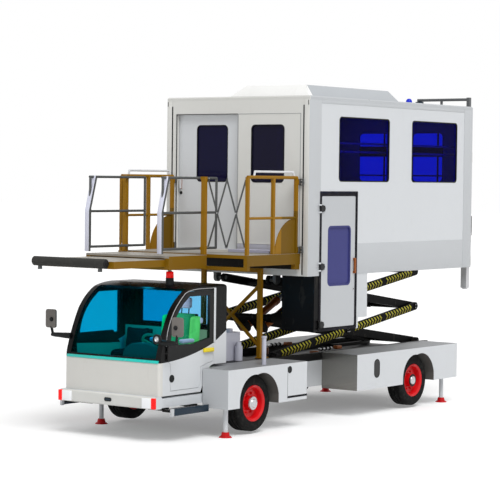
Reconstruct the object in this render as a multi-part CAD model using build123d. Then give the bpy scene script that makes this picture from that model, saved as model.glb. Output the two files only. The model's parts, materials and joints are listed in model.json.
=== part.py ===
from build123d import *
import math
import os

os.makedirs("parts", exist_ok=True)

# Ambulift, millimetres, +Z up, +X to the docking end, +Y to the vehicle's left.
# Lengths along X are counted from the cabin's front face while building.
# Every piece is moved to the middle of the overall length on export.

# fits
RUN = 0.1
SLIP = 0.5
DOOR_GAP = 6

# scissor: the pivots stand this far behind the cabin's front and before its rear end
PIVOT_IN = 280
TRACK_IN = 340
PIVOT_Z = 900
STAGE = 542.5
ARM_H = 60
ARM_T = 45
ARM_GAP = 10
ARM_OUT_Y = 430
ROLLER_R = 55
PIN_R = 30
SHAFT_R = 48
TRACK_L = 1030
# lift cylinders
CYL_Y = 150
CYL_R = 52
ROD_R = 34
CYL_PIN_R = 24
CYL_FOOT = 200
CYL_HEAD = 1300
LEVER = 150
BARREL_L = 860

# cabin
CABIN_W = 2500
CABIN_L = 4420
CABIN_H = 2484
CABIN_SEAT = 85
WALL = 45
FLOOR_RISE = 320
FLOOR_T = 90
ROOF_T = 54
PANE_T = 8
PANE_IN = 18
# side windows, counted from the roof and from the cabin's ends
WIN_DROP = 274
WIN_H = 898
WIN_FRONT = 735
WIN_REAR = 470
WIN_PILLAR = 626
WIN_R = 50
# side door and its well
DOOR_FRONT = 280
DOOR_W = 900
DOOR_DROP = 740
DOOR_HEAD = 157
WELL_Y = 705
WELL_REACH = (120, 85)
WELL_FLOOR = 35
STEP_RISE = 360
STEP_DEPTH = (235, 90)
WELL_PANEL_L = 230
# end doors
END_DROP = 249
LEAF_IN = 184
LEAF_EDGE = 23
LEAF_LAP = 30
LEAF_T = 40
REAR_EDGE = -100
REAR_IN = 250
END_WIN_DROP = 400
END_WIN_H = 798
END_WIN_R = 60
# roof fairing and rack
FAIRING_L = 1910
FAIRING_Y = (-110, 30)
FAIRING_H = 146

# chassis
DECK_Z = 907
BOX_Z0 = 390
BAY_HALF = 560
RAIL_T = 70
BAY_Z = 800
PLATE_T = 20
FRONT_BOX_X = (-26, 1763)
REAR_BOX_FRONT = -1284
TAIL_OVER = 120
NOSE_X = 2600
NOSE_Y = (400, 500)
NOSE_Z = (440, 600)
# wheels
FRONT_WHEEL_X = 1075
REAR_WHEEL_IN = 1135
WHEEL_IN = 220
WHEEL_Z = 412
TYRE_R = 378
TYRE_W = 250
RIM_R = 232
KING_IN = 45
KING_R = 21
SPINDLE_R = 36
# jacks
FRONT_JACK_X = 1597
REAR_JACK_IN = 194
JACK_IN = 174
JACK_R = 32
JACK_TOP = 560

# cab, from its front, floor and middle
CAB_FRONT = 2653
CAB_REAR = 1241
CAB_Z0 = 600
CAB_ROOF = 1999
CAB_HALF = 803
CAB_WALL = 45
CAB_EDGE = 35
SCREEN_HALF = 725
SEAT_Y = 380
BUMPER_HALF = 816
BUMPER_X = (2600, 2740)
BUMPER_Z = (442, 599)

# docking deck, carriage and bridge
DECK_L = 1220
DECK_IN = 130
DECK_T = 47
RAIL_RISE = 1035
RAIL_POST = 44
TOWER_Y = (465, 525)
TOWER_X = (40, 100)
CAR_IN = 250
CAR_HALF = 720
CAR_END = 2030
CAR_SIDE = 65
BRIDGE_X = (1750, 3062)
ROLL_R = 62
RAIL_HALF = 630
RAIL_R = 17

# tail lift
MAST_OUT = 55
MAST_IN = (80, 180)
TAIL_OUT = 130
TAIL_RISE = 230
TAIL_H = 1700
TAIL_T = 45

# places worked out from these
HALF = CABIN_W / 2
PIN_HOLE = PIN_R + RUN
PIVOT_X = -PIVOT_IN
SPAN = CABIN_L - PIVOT_IN - TRACK_IN
XR = PIVOT_X - SPAN
XM = PIVOT_X - SPAN / 2
Z1 = PIVOT_Z + STAGE
Z2 = PIVOT_Z + 2 * STAGE
ZC1 = PIVOT_Z + STAGE / 2
ZC2 = PIVOT_Z + STAGE * 1.5
ARM_OUT = (ARM_OUT_Y, ARM_OUT_Y + ARM_T)
ARM_IN = (ARM_OUT_Y - ARM_GAP - ARM_T, ARM_OUT_Y - ARM_GAP)
CABIN_Z0 = Z2 + CABIN_SEAT
FLOOR_Z = CABIN_Z0 + FLOOR_RISE
ROOF_Z = CABIN_Z0 + CABIN_H
WALL_TOP = ROOF_Z - ROOF_T
WIN_Z = (ROOF_Z - WIN_DROP - WIN_H, ROOF_Z - WIN_DROP)
WIN_L = (CABIN_L - WIN_FRONT - WIN_PILLAR - WIN_REAR) / 2
DOOR_X = (-DOOR_FRONT - DOOR_W, -DOOR_FRONT)
DOOR_Z = (CABIN_Z0 - DOOR_DROP, WIN_Z[0] - DOOR_HEAD)
WELL_X = (DOOR_X[0] - WELL_REACH[1], DOOR_X[1] + WELL_REACH[0])
END_TOP = ROOF_Z - END_DROP
END_WIN_Z = (ROOF_Z - END_WIN_DROP - END_WIN_H, ROOF_Z - END_WIN_DROP)
LEAF_Y = (LEAF_IN - HALF, LEAF_EDGE)
REAR_Y = (REAR_EDGE, HALF - REAR_IN)
RAIL_OUT = BAY_HALF + RAIL_T
FRAME_REAR = XR - TAIL_OVER
REAR_BOX_X = (XR + 17, REAR_BOX_FRONT)
WHEEL_X = (FRONT_WHEEL_X, XR + REAR_WHEEL_IN)
WHEEL_Y = HALF - WHEEL_IN
KING_Y = WHEEL_Y - KING_IN
JACK_X = (FRONT_JACK_X, XR + REAR_JACK_IN)
JACK_Y = HALF - JACK_IN
DECK_TOP = FLOOR_Z - 5
DECK_HALF = HALF - DECK_IN
RAIL_Y = DECK_HALF - 30
RAIL_TOP = FLOOR_Z + RAIL_RISE
CAR_X = (DECK_L + SLIP, CAR_END)
CAR_Y = CAR_HALF + CAR_IN - HALF
BRIDGE_HALF = CAR_HALF - CAR_SIDE - SLIP
BRIDGE_Z = (FLOOR_Z - 158, FLOOR_Z - 62)
ROLL_X = BRIDGE_X[1] + ROLL_R - 4
ROLL_Z = FLOOR_Z - 90
MAST_X = -CABIN_L - MAST_OUT
MAST_Y = (HALF - MAST_IN[1], HALF - MAST_IN[0])
TAIL_X = MAST_X - TAIL_OUT
TAIL_Z = FLOOR_Z + TAIL_RISE
TAIL_HALF = HALF - 250
X_FRONT = ROLL_X + ROLL_R
X_REAR = TAIL_X - 40
XO = -(X_FRONT + X_REAR) / 2


def box(x0, x1, y0, y1, z0, z1):
    s = Box(abs(x1 - x0), abs(y1 - y0), abs(z1 - z0))
    return Pos((x0 + x1) / 2, (y0 + y1) / 2, (z0 + z1) / 2) * s


def cyl(p0, p1, r):
    d = Vector(*p1) - Vector(*p0)
    return Solid.make_cylinder(r, d.length, Plane(origin=p0, z_dir=d))


def cone(x, y, z, r0, r1, h):
    return Pos(x, y, z) * Cone(r0, r1, h, align=(Align.CENTER, Align.CENTER, Align.MIN))


def outline(start, *steps):
    """Closed face from corners; a step given as (through, end) is an arc."""
    edges = []
    here = start
    for step in steps:
        if isinstance(step[0], tuple):
            end = step[1]
            edges.append(ThreePointArc(here, step[0], end))
        else:
            end = step
            edges.append(Line(here, end))
        here = end
    edges.append(Line(here, start))
    return make_face(edges)


def prism(face, y0, y1):
    """Give an (x, z) face its width along Y."""
    side = Plane(origin=(0, y0, 0), x_dir=(1, 0, 0), z_dir=(0, -1, 0))
    return extrude(side * face, amount=y1 - y0, dir=(0, 1, 0))


def window(x0, x1, y0, y1, z0, z1, r, axis):
    """A pane or its hole: a box with its corners rounded about an axis."""
    s = box(x0, x1, y0, y1, z0, z1)
    return s.fillet(r, s.edges().filter_by(axis))


def mirror_y(s):
    return mirror(s, Plane.XZ)


def both(s):
    return [s, mirror_y(s)]


def fuse(items):
    flat = []
    for i in items:
        if isinstance(i, (list, tuple)):
            flat += list(i)
        else:
            flat.append(i)
    out = flat[0]
    if len(flat) > 1:
        out = out.fuse(*flat[1:])
    return out


def save(name, item):
    if isinstance(item, (list, tuple, ShapeList)):
        solids = []
        for i in item:
            solids += list(i.solids())
    else:
        solids = list(item.solids())
    moved = [s.moved(Location((XO, 0, 0))) for s in solids]
    shape = moved[0] if len(moved) == 1 else Compound(children=moved)
    shape.label = name
    export_step(shape, "parts/" + name + ".step")


def tube_path(pts, r):
    parts = [cyl(a, b, r) for a, b in zip(pts[:-1], pts[1:])]
    parts += [Pos(*p) * Sphere(r) for p in pts[1:-1]]
    return fuse(parts)


def bar(p0, p1, h):
    """Straight bar outline between two (x, z) points, half as high as 2 h."""
    dx, dz = p1[0] - p0[0], p1[1] - p0[1]
    n = math.hypot(dx, dz)
    ux, uz = dx / n * h, dz / n * h
    return outline((p0[0] - uz, p0[1] + ux), (p1[0] - uz, p1[1] + ux), (p1[0] + uz, p1[1] - ux),
                   (p0[0] + uz, p0[1] - ux))


def arm(p0, p1, y0, y1, h):
    """Flat link with round ends."""
    ends = [cyl((p[0], y0, p[1]), (p[0], y1, p[1]), h) for p in (p0, p1)]
    return fuse([prism(bar(p0, p1, h), y0, y1)] + ends)


def hole_y(x, z, r, y0=-2 * CABIN_W, y1=2 * CABIN_W):
    return cyl((x, y0, z), (x, y1, z), r)


def shaft(x, z, y, r):
    return cyl((x, -y, z), (x, y, z), r)


# chassis frame: rails, bay floor, cross members, nose and axles
CROSS_T = 90
CROSS_Z = 470
frame_parts = []
rail = box(FRAME_REAR, 1500, BAY_HALF, RAIL_OUT, BOX_Z0 + 40, DECK_Z)
nose = box(1400, NOSE_X, NOSE_Y[0], NOSE_Y[1], NOSE_Z[0], NOSE_Z[1])
link = box(1380, 1500, NOSE_Y[0], RAIL_OUT, NOSE_Z[0], NOSE_Z[1] - 15)
track = box(XR - 100, XR - 100 + TRACK_L, ARM_OUT[0], ARM_OUT[0] + 90, BAY_Z, PIVOT_Z - ROLLER_R - SLIP)
pivot = cyl((PIVOT_X, BAY_HALF + 10, PIVOT_Z), (PIVOT_X, ARM_OUT[0] - 6, PIVOT_Z), PIN_R)
boss = cyl((PIVOT_X, BAY_HALF + 10, PIVOT_Z), (PIVOT_X, ARM_OUT[1] + 6, PIVOT_Z), 55)
for s in (rail, nose, link, track, pivot, boss):
    frame_parts += both(s)
bay = BAY_HALF + 5
frame_parts.append(box(FRAME_REAR, 1000, -bay, bay, BAY_Z - PLATE_T, BAY_Z))
for x in (FRAME_REAR, REAR_BOX_FRONT - 1016, REAR_BOX_FRONT - 16, -40, 1400):
    frame_parts.append(box(x, x + CROSS_T, -bay, bay, CROSS_Z, BAY_Z))
frame_parts.append(box(120, 1500, -bay, bay, DECK_Z - PLATE_T, DECK_Z))
frame_parts.append(box(NOSE_X - 60, NOSE_X, -NOSE_Y[1], NOSE_Y[1], NOSE_Z[0], NOSE_Z[1] - 15))
# front axle with a yoke at each end, rear axle with a spindle at each end
AXLE_R = 58
AXLE_END = WHEEL_Y - 130
YOKE_Y = (WHEEL_Y - 150, WHEEL_Y - 115)
YOKE_H = 130
LUG_T = 30
for x in WHEEL_X:
    frame_parts.append(cyl((x, -AXLE_END, WHEEL_Z), (x, AXLE_END, WHEEL_Z), AXLE_R))
    frame_parts += both(box(x - 60, x + 60, BAY_HALF, RAIL_OUT, WHEEL_Z, CROSS_Z))
fx, rx = WHEEL_X
yoke = box(fx - 45, fx + 45, YOKE_Y[0], YOKE_Y[1], WHEEL_Z - YOKE_H, WHEEL_Z + YOKE_H)
for s in (1, -1):
    z0, z1 = WHEEL_Z + s * (YOKE_H - LUG_T), WHEEL_Z + s * YOKE_H
    lug = box(fx - 38, fx + 38, YOKE_Y[0], KING_Y, z0, z1)
    lug = fuse([lug, cyl((fx, KING_Y, z0), (fx, KING_Y, z1), 38)])
    yoke = fuse([yoke, lug - cyl((fx, KING_Y, z0 - s * 10), (fx, KING_Y, z1 + s * 10), KING_R + RUN)])
frame_parts += both(yoke)
spindle = cyl((rx, WHEEL_Y - 140, WHEEL_Z), (rx, WHEEL_Y + 60, WHEEL_Z), SPINDLE_R)
drum = cyl((rx, WHEEL_Y - 150, WHEEL_Z), (rx, WHEEL_Y - 30, WHEEL_Z), 150)
frame_parts += both(spindle) + both(drum)
# cab step each side on two brackets
STEP_X = (1800, 2530)
STEP_Y = (CAB_HALF - 43, CAB_HALF + 147)
step = [box(STEP_X[0], STEP_X[1], STEP_Y[0], STEP_Y[1], NOSE_Z[0] - 45, NOSE_Z[0] - 15)]
for x in (STEP_X[0] + 50, STEP_X[1] - 90):
    step.append(box(x, x + 40, NOSE_Y[1] - 20, STEP_Y[0] + 40, NOSE_Z[0] - 40, NOSE_Z[0] + 6))
frame_parts += both(fuse(step))
chassis_frame = fuse(frame_parts)

# side boxes with wheel arches, jack wells and the recess under the side door
ARCH_FRONT = 444
ARCH_REAR = -432
ARCH_TOP = 417


def arch(x):
    z = BOX_Z0
    face = outline((x + ARCH_FRONT, z - 10), (x + ARCH_FRONT, z + 90),
                   ((x + 325, z + 340), (x + 46, z + ARCH_TOP)),
                   ((x - 300, z + 345), (x + ARCH_REAR, z + 125)), (x + ARCH_REAR, z - 10))
    return prism(face, RAIL_OUT - 1, HALF + 100)


def jack_well(x):
    return cyl((x, JACK_Y, 0), (x, JACK_Y, DECK_Z - 32), JACK_R + RUN)


BOX_EDGE = 12


def side_box(x0, x1):
    s = box(x0, x1, RAIL_OUT, HALF, BOX_Z0, DECK_Z)
    return s.chamfer(BOX_EDGE, None, s.edges().filter_by(Axis.Z).group_by(Axis.Y)[-1])


front_box = side_box(*FRONT_BOX_X) - arch(WHEEL_X[0]) - jack_well(JACK_X[0])
front_box = front_box - box(1500, 1900, RAIL_OUT - 30, CAB_HALF + 13, BOX_Z0 - 90, DECK_Z + 93)
rear_box = side_box(*REAR_BOX_X) - arch(WHEEL_X[1]) - jack_well(JACK_X[1])
SLOT_X = REAR_BOX_FRONT - 470
SLOT_Z = (620, 760)
SLOT_R = 35
SLOT_D = 25
slot = [box(SLOT_X - SLOT_R, SLOT_X + SLOT_R, HALF - SLOT_D, HALF + 5, SLOT_Z[0], SLOT_Z[1])]
slot += [hole_y(SLOT_X, z, SLOT_R, HALF - SLOT_D, HALF + 5) for z in SLOT_Z]
rear_box = rear_box - fuse(slot)
FILLER = (395, 815, 30)
front_box = front_box - hole_y(FILLER[0], FILLER[1], FILLER[2], HALF - SLOT_D, HALF + 5)

# bumper with side beams and a tow pin bore, and its corner lamps
TOW_X = 2680
TOW_R = 20
bx0, bx1 = BUMPER_X
bz0, bz1 = BUMPER_Z
bumper = box(bx0, bx1, -BUMPER_HALF, BUMPER_HALF, bz0, bz1)
bumper = bumper.chamfer(18, None, bumper.edges().filter_by(Axis.Y))
BEAM_L = 960
BEAM_W = 95
BEAM_IN = 3
BEAM_LAP = 40
beam_y = CAB_HALF - BEAM_IN
beam_x = bx0 + BEAM_LAP
bumper = fuse([bumper, both(box(beam_x - BEAM_L, beam_x, beam_y - BEAM_W, beam_y, bz0 + 10, bz1 - 27))])
bumper = bumper - cyl((TOW_X, 0, bz0 - TOW_R), (TOW_X, 0, bz1 + TOW_R), TOW_R)
LAMP_T = 25
RED_W = 78
WHITE_W = 146
LAMP_GAP = 6
red_lamp = fuse([box(bx1, bx1 + LAMP_T, BUMPER_HALF - RED_W, BUMPER_HALF + 8, bz0 + 20, bz1 - 20),
                 box(bx1 - 50, bx1 + LAMP_T, BUMPER_HALF, BUMPER_HALF + 8, bz0 + 20, bz1 - 20)])
white_y = BUMPER_HALF - RED_W - LAMP_GAP
white_lamp = box(bx1, bx1 + LAMP_T, white_y - WHITE_W, white_y, bz0 + 20, bz1 - 20)
lamps = both(red_lamp) + both(white_lamp)

# cab: side profile of its shell, split along the belt line, with door and screen openings
f, b, z0, zr = CAB_FRONT, CAB_REAR, CAB_Z0, CAB_ROOF
OUTER = outline((f, z0), (f, z0 + 405), ((f - 117, z0 + 769), (f - 253, z0 + 1056)),
                ((f - 407, z0 + 1227), (f - 573, zr - 61)),
                ((f - 803, zr - 11), (f - 1150, zr)), (b + 50, zr),
                ((b + 15, zr - 15), (b, zr - 50)), (b, z0 + 345), (b + 229, z0 + 345),
                ((b + 369, z0 + 308), (b + 431, z0 + 228)), (b + 550, z0))
BELT = outline((f + 97, z0 + 429), (f - 61, z0 + 429), ((f - 566, z0 + 483), (f - 1135, z0 + 628)),
               (b - 41, z0 + 805), (b - 41, z0 - 200), (f + 97, z0 - 200))
DOOR = outline((f - 228, z0 + 55), (f - 823, z0 + 55), (f - 863, z0 + 140), (f - 863, z0 + 325),
               (f - 1013, z0 + 365),
               (f - 1128, z0 + 385), (f - 1128, zr - 69), (f - 598, zr - 69),
               ((f - 431, z0 + 1200), (f - 281, z0 + 1030)), ((f - 183, z0 + 820), (f - 159, z0 + 640)),
               (f - 159, z0 + 455), (f - 228, z0 + 400))
PANE = outline((f - 1048, zr - 137), (f - 623, zr - 137), ((f - 463, z0 + 1145), (f - 333, z0 + 990)),
               ((f - 253, z0 + 800), (f - 235, z0 + 650)), (f - 703, z0 + 640), (f - 1048, z0 + 700))
SCREEN_T = 12
SCREEN_IN = 8


def screen_strip(depth0, depth1):
    """The screen's own stretch of the profile, between two depths behind the outer face."""
    shells = []
    for d in (depth0, depth1):
        shells.append(OUTER if d == 0 else offset(OUTER, amount=-d, kind=Kind.INTERSECTION))
    band = shells[0] - shells[1]
    keep = outline((f + 20, z0 + 482), (f - 300, z0 + 482), (f - 760, zr - 140), (f - 543, zr + 20),
                   (f + 20, zr + 20))
    return band & keep


whole = prism(OUTER, -CAB_HALF, CAB_HALF)
# round the roof's long edges and the front's upright corners
roof_round = box(b, f, -CAB_HALF, CAB_HALF, z0, zr)
roof_round = roof_round.fillet(CAB_EDGE, roof_round.edges().filter_by(Axis.X).group_by(Axis.Z)[-1])
nose_round = box(b, f, -CAB_HALF, CAB_HALF, z0, zr)
nose_round = nose_round.fillet(CAB_EDGE, nose_round.edges().filter_by(Axis.Z).group_by(Axis.X)[-1])
whole = whole & roof_round & nose_round
inside = offset(OUTER, amount=-CAB_WALL, kind=Kind.INTERSECTION)
whole = whole - prism(inside, -CAB_HALF + CAB_WALL, CAB_HALF - CAB_WALL)
door_hole = prism(DOOR, CAB_HALF - CAB_WALL - 20, CAB_HALF + 20)
for s in both(door_hole):
    whole = whole - s
low_part = prism(BELT, -CAB_HALF - 100, CAB_HALF + 100)
cab_shell = whole & low_part
cab_top = whole - low_part
cab_top = cab_top - prism(screen_strip(0, CAB_WALL + 30), -SCREEN_HALF, SCREEN_HALF)
BACK_Y = 640
BACK_Z = (z0 + 840, zr - 119)
cab_top = cab_top - box(b - 41, b + 79, -BACK_Y, BACK_Y, BACK_Z[0], BACK_Z[1])
screen = prism(screen_strip(SCREEN_IN, SCREEN_IN + SCREEN_T), -SCREEN_HALF, SCREEN_HALF)
back_pane = box(b + 17, b + 17 + SCREEN_T, -BACK_Y, BACK_Y, BACK_Z[0], BACK_Z[1])

# cab beacon on the roof
BEACON = (f - 823, 300)
beacon = fuse([cone(BEACON[0], BEACON[1], zr - 40, 75, 56, 60),
               cyl((*BEACON, zr - 40), (*BEACON, zr + 84), 55),
               cyl((*BEACON, zr + 84), (*BEACON, zr + 164), 52),
               cyl((*BEACON, zr + 164), (*BEACON, zr + 178), 30)])
beacon = beacon - prism(OUTER, -CAB_HALF, CAB_HALF)

# cab fittings: dash, steering wheel, mirrors on their arms, work lamp
d = f - CAB_WALL
dash = outline((d, z0 + CAB_WALL), (d - 278, z0 + CAB_WALL), (d - 278, z0 + 300), (d - 208, z0 + 430),
               (d - 33, z0 + 435), (d, z0 + 400))
dash = prism(dash, -CAB_HALF + 63, CAB_HALF - 63)
WHEEL_AT = (f - 438, SEAT_Y, z0 + 615)
WHEEL_LEAN = (-185, 0, 160)
column = cyl((f - 233, SEAT_Y, z0 + 400), (f - 428, SEAT_Y, z0 + 605), 26)
wheel_plane = Plane(origin=WHEEL_AT, z_dir=WHEEL_LEAN)
steer = wheel_plane * Torus(190, 16)
steer_hub = Solid.make_cylinder(45, 30, Plane(origin=(f - 425, SEAT_Y, z0 + 603), z_dir=WHEEL_LEAN))
spoke = wheel_plane * Box(380, 30, 14)
fittings = [fuse([dash, column, steer, steer_hub, spoke]) - cab_shell]
MIRROR_X = (f - 38, f - 8)
MIRROR_Y = (CAB_HALF + 187, CAB_HALF + 369)
MIRROR_Z = (z0 + 785, z0 + 1033)
mirror_mid = (MIRROR_Y[0] + MIRROR_Y[1]) / 2 - 20
plate = window(*MIRROR_X, *MIRROR_Y, *MIRROR_Z, 35, Axis.X)
mirror_arm = tube_path([(f - 108, CAB_HALF - 23, z0 + 685), (f - 8, CAB_HALF + 157, z0 + 745),
                        (f + 12, mirror_mid, z0 + 840), (f + 12, mirror_mid, z0 + 900)], 13)
ball = cyl((f - 10, mirror_mid, z0 + 900), (f + 22, mirror_mid, z0 + 900), 28)
for s in both(fuse([plate, mirror_arm, ball]) - cab_top - cab_shell):
    fittings.append(s.solids().sort_by(SortBy.VOLUME)[-1])
lamp_at = (CAB_HALF - 3, z0 + 745)
side_lamp = fuse([cyl((f + 2, *lamp_at), (f + 59, *lamp_at), 58),
                  cyl((f - 123, CAB_HALF - 18, z0 + 700), (f + 17, *lamp_at), 14)])
fittings.append((side_lamp - cab_top - cab_shell).solids().sort_by(SortBy.VOLUME)[-1])

# cab seats: pedestal, cushion, leaning back and headrest
seat_parts = []
for y in (SEAT_Y, -SEAT_Y):
    cushion = box(f - 1033, f - 613, y - 235, y + 235, z0 + 362, z0 + 475)
    cushion = cushion.fillet(35, cushion.edges().filter_by(Axis.Z))
    lean = outline((f - 1053, z0 + 410), (f - 953, z0 + 410), (f - 1013, z0 + 1040), (f - 1093, z0 + 1040))
    back = prism(lean, y - 225, y + 225)
    head = window(f - 1098, f - 1013, y - 120, y + 120, z0 + 1060, z0 + 1220, 40, Axis.X)
    post = box(f - 1068, f - 1043, y - 60, y + 60, z0 + 1000, z0 + 1080)
    pedestal = box(f - 823, f - 623, y - 180, y + 180, z0 + CAB_WALL + RUN, z0 + 370)
    seat_parts.append(fuse([pedestal, cushion, back, head, post]))

# cab doors with their panes, hinge eyes and handle
door_left = prism(offset(DOOR, amount=-DOOR_GAP, kind=Kind.INTERSECTION), CAB_HALF - CAB_WALL, CAB_HALF)
door_left = door_left - prism(PANE, CAB_HALF - CAB_WALL - 10, CAB_HALF + 10)
pane_left = prism(PANE, CAB_HALF - PANE_IN - PANE_T, CAB_HALF - PANE_IN)
hx, hy = f - 153, CAB_HALF + 13
HINGE_R = 12
HINGE_PIN = 6
knuckles = []
pins = []
for z in (z0 + 475, z0 + 575):
    eye = fuse([cyl((hx, hy, z), (hx, hy, z + 50), HINGE_R),
                box(hx - 45, hx, CAB_HALF + 1, CAB_HALF + 12, z, z + 50),
                box(hx - 45, hx - 20, CAB_HALF - 3, CAB_HALF + 12, z, z + 50)])
    knuckles.append(eye - cyl((hx, hy, z - 1), (hx, hy, z + 51), HINGE_PIN + RUN))
    pins.append(cyl((hx, hy, z - 15), (hx, hy, z + 65), HINGE_PIN))
    for zp in (z - 16, z + 51):
        pins.append(fuse([cyl((hx, hy, zp), (hx, hy, zp + 15), HINGE_R),
                          box(hx, hx + 30, CAB_HALF, CAB_HALF + 12, zp, zp + 15)]))
cab_top = fuse([cab_top] + both(fuse(pins)))
handle = box(f - 1093, f - 923, CAB_HALF - 4, CAB_HALF + 22, z0 + 522, z0 + 562)
door_left = fuse([door_left] + knuckles + [handle])

# rest tower behind the cab: posts, head, cross brace and feet
tx0, tx1 = TOWER_X
ty0, ty1 = TOWER_Y
TOWER_TOP = FLOOR_Z - 230
tm = (tx0 + tx1) / 2
tym = (ty0 + ty1) / 2
tower = both(box(tx0, tx1, ty0, ty1, DECK_Z, TOWER_TOP))
tower.append(box(tx0, tx1, -ty1, ty1, TOWER_TOP - 60, TOWER_TOP))
for s in (1, -1):
    tower.append(cyl((tm, -s * tym, DECK_Z + 153), (tm, s * tym, TOWER_TOP - 230), 26))
tower += both(box(-60, tx1 + 15, ty0 - 15, BAY_HALF, DECK_Z - 60, DECK_Z + 12))
tower = fuse(tower)
tower = tower - box(-70, tx1 + 19, -BAY_HALF, BAY_HALF, DECK_Z - 207, DECK_Z)

# power pack on the front deck: tank, pump and plain engine block, and a deck post
TANK_X = (420, 960)
TANK_Y = (-60, 440)
TANK_TOP = DECK_Z + 383
tank = box(TANK_X[0], TANK_X[1], TANK_Y[0], TANK_Y[1], DECK_Z, TANK_TOP)
tank = tank.fillet(40, tank.edges().filter_by(Axis.Z))
cap_at = (TANK_X[0] + 120, TANK_Y[1] - 120)
filler = cyl((*cap_at, TANK_TOP), (*cap_at, TANK_TOP + 45), 48)
PUMP = (560, 500)
pump = [cyl((*PUMP, DECK_Z), (*PUMP, DECK_Z + 200), 55),
        cyl((*PUMP, DECK_Z + 195), (*PUMP, DECK_Z + 253), 38)]
engine = box(130, 950, -360, 360, 480, BAY_Z - PLATE_T)
deck_post = fuse([cyl((790, JACK_Y + 24, DECK_Z), (790, JACK_Y + 24, DECK_Z + 370), 30),
                  cyl((790, JACK_Y + 24, DECK_Z + 360), (790, JACK_Y + 24, DECK_Z + 385), 36)])
power_pack = [fuse([tank, filler]), fuse(pump), engine, deck_post]

# steering knuckles, tyres and rims
knuckle = fuse([cyl((fx, KING_Y, WHEEL_Z - YOKE_H + 38), (fx, KING_Y, WHEEL_Z + YOKE_H - 38), 40),
                cyl((fx, KING_Y, WHEEL_Z - YOKE_H + 4), (fx, KING_Y, WHEEL_Z + YOKE_H - 4), KING_R),
                cyl((fx, KING_Y, WHEEL_Z), (fx, WHEEL_Y + 60, WHEEL_Z), SPINDLE_R)])
W2 = TYRE_W / 2
# columns: place along the axle from the wheel's middle, radius
TYRE = [(-W2 + 22, RIM_R), (W2 - 22, RIM_R), (W2 - 4, RIM_R + 22), (W2, RIM_R + 73), (W2 - 8, TYRE_R - 28),
        (W2 - 28, TYRE_R - 4), (0, TYRE_R), (-W2 + 28, TYRE_R - 4), (-W2 + 8, TYRE_R - 28), (-W2, RIM_R + 73),
        (-W2 + 4, RIM_R + 22)]
RIM = [(-W2 + 22, RIM_R), (W2 - 22, RIM_R), (W2 - 6, RIM_R + 12), (W2, RIM_R + 6), (W2 - 22, RIM_R - 22),
       (38, RIM_R - 42), (26, 100), (100, 92), (112, 70), (112, 0.0), (72, 0.0), (72, SPINDLE_R + RUN),
       (4, SPINDLE_R + RUN), (4, 110), (14, RIM_R - 56), (-W2 + 20, RIM_R - 26), (-W2 + 2, RIM_R + 4),
       (-W2 + 6, RIM_R + 12)]


def ring(profile, x, y, z):
    face = make_face(Polyline(*[(0, a, r) for a, r in profile], close=True))
    return Pos(x, y, z) * revolve(face, Axis((0, 0, 0), (0, 1, 0)))


# jacks: foot, collar and rod
FOOT_R = (90, 74)
COLLAR_R = (60, 48)
jacks = {}
for i, end in enumerate(("front", "rear")):
    x = JACK_X[i]
    rod = cyl((x, JACK_Y, 60), (x, JACK_Y, JACK_TOP), JACK_R)
    jack = fuse([cone(x, JACK_Y, 0, *FOOT_R, 18), cone(x, JACK_Y, 18, *COLLAR_R, 52), rod])
    jacks[end + "_left"], jacks[end + "_right"] = both(jack)

# scissor arms, two outer and two inner on each stage
LOWER_A = ((PIVOT_X, PIVOT_Z), (XR, Z1))
LOWER_B = ((XR, PIVOT_Z), (PIVOT_X, Z1))
UPPER_B = ((XR, Z1), (PIVOT_X, Z2))
UPPER_A = ((PIVOT_X, Z1), (XR, Z2))
IN_END = ARM_IN[0] + 5
lower_a = [s - hole_y(PIVOT_X, PIVOT_Z, PIN_HOLE) for s in both(arm(*LOWER_A, *ARM_OUT, ARM_H))]
lower_a.append(shaft(XR, Z1, ARM_OUT[1], PIN_R))
lower_a.append(shaft(XR, Z1, ARM_IN[0] - 8, SHAFT_R))
lower_a += both(cyl((XM, ARM_OUT[1], ZC1), (XM, ARM_IN[0] - 4, ZC1), PIN_R))
lower_a = fuse(lower_a)

lower_b = [s - hole_y(XM, ZC1, PIN_HOLE) for s in both(arm(*LOWER_B, *ARM_IN, ARM_H))]
lower_b.append(shaft(PIVOT_X, Z1, ARM_OUT[1] + 4, PIN_R))
lower_b.append(shaft(PIVOT_X, Z1, IN_END, SHAFT_R))
lower_b.append(shaft(XR, PIVOT_Z, ARM_OUT[1] + 40, PIN_R))
lower_b.append(shaft(XR, PIVOT_Z, IN_END, SHAFT_R - 4))
lower_b += both(cyl((XR, ARM_OUT[0] + 10, PIVOT_Z), (XR, ARM_OUT[1] + 35, PIVOT_Z), ROLLER_R))

TIE = 0.86
upper_b = both(arm(*UPPER_B, *ARM_IN, ARM_H))
upper_b = [s - hole_y(XR, Z1, PIN_HOLE) - hole_y(PIVOT_X, Z2, PIN_HOLE) for s in upper_b]
upper_b += both(cyl((XM, ARM_IN[0], ZC2), (XM, ARM_OUT[1] + 4, ZC2), PIN_R))
upper_b.append(shaft(XR + SPAN * TIE, Z1 + STAGE * TIE, IN_END, 40))
upper_b = fuse(upper_b)

TOP_ROLLER_R = ROLLER_R - 5
upper_a = both(arm(*UPPER_A, *ARM_OUT, ARM_H))
upper_a = [s - hole_y(PIVOT_X, Z1, PIN_HOLE) - hole_y(XM, ZC2, PIN_HOLE) for s in upper_a]
upper_a.append(shaft(XR, Z2, ARM_OUT[1], PIN_R))
upper_a += both(cyl((XR, ARM_IN[0] - 20, Z2), (XR, ARM_IN[1], Z2), TOP_ROLLER_R))

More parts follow.
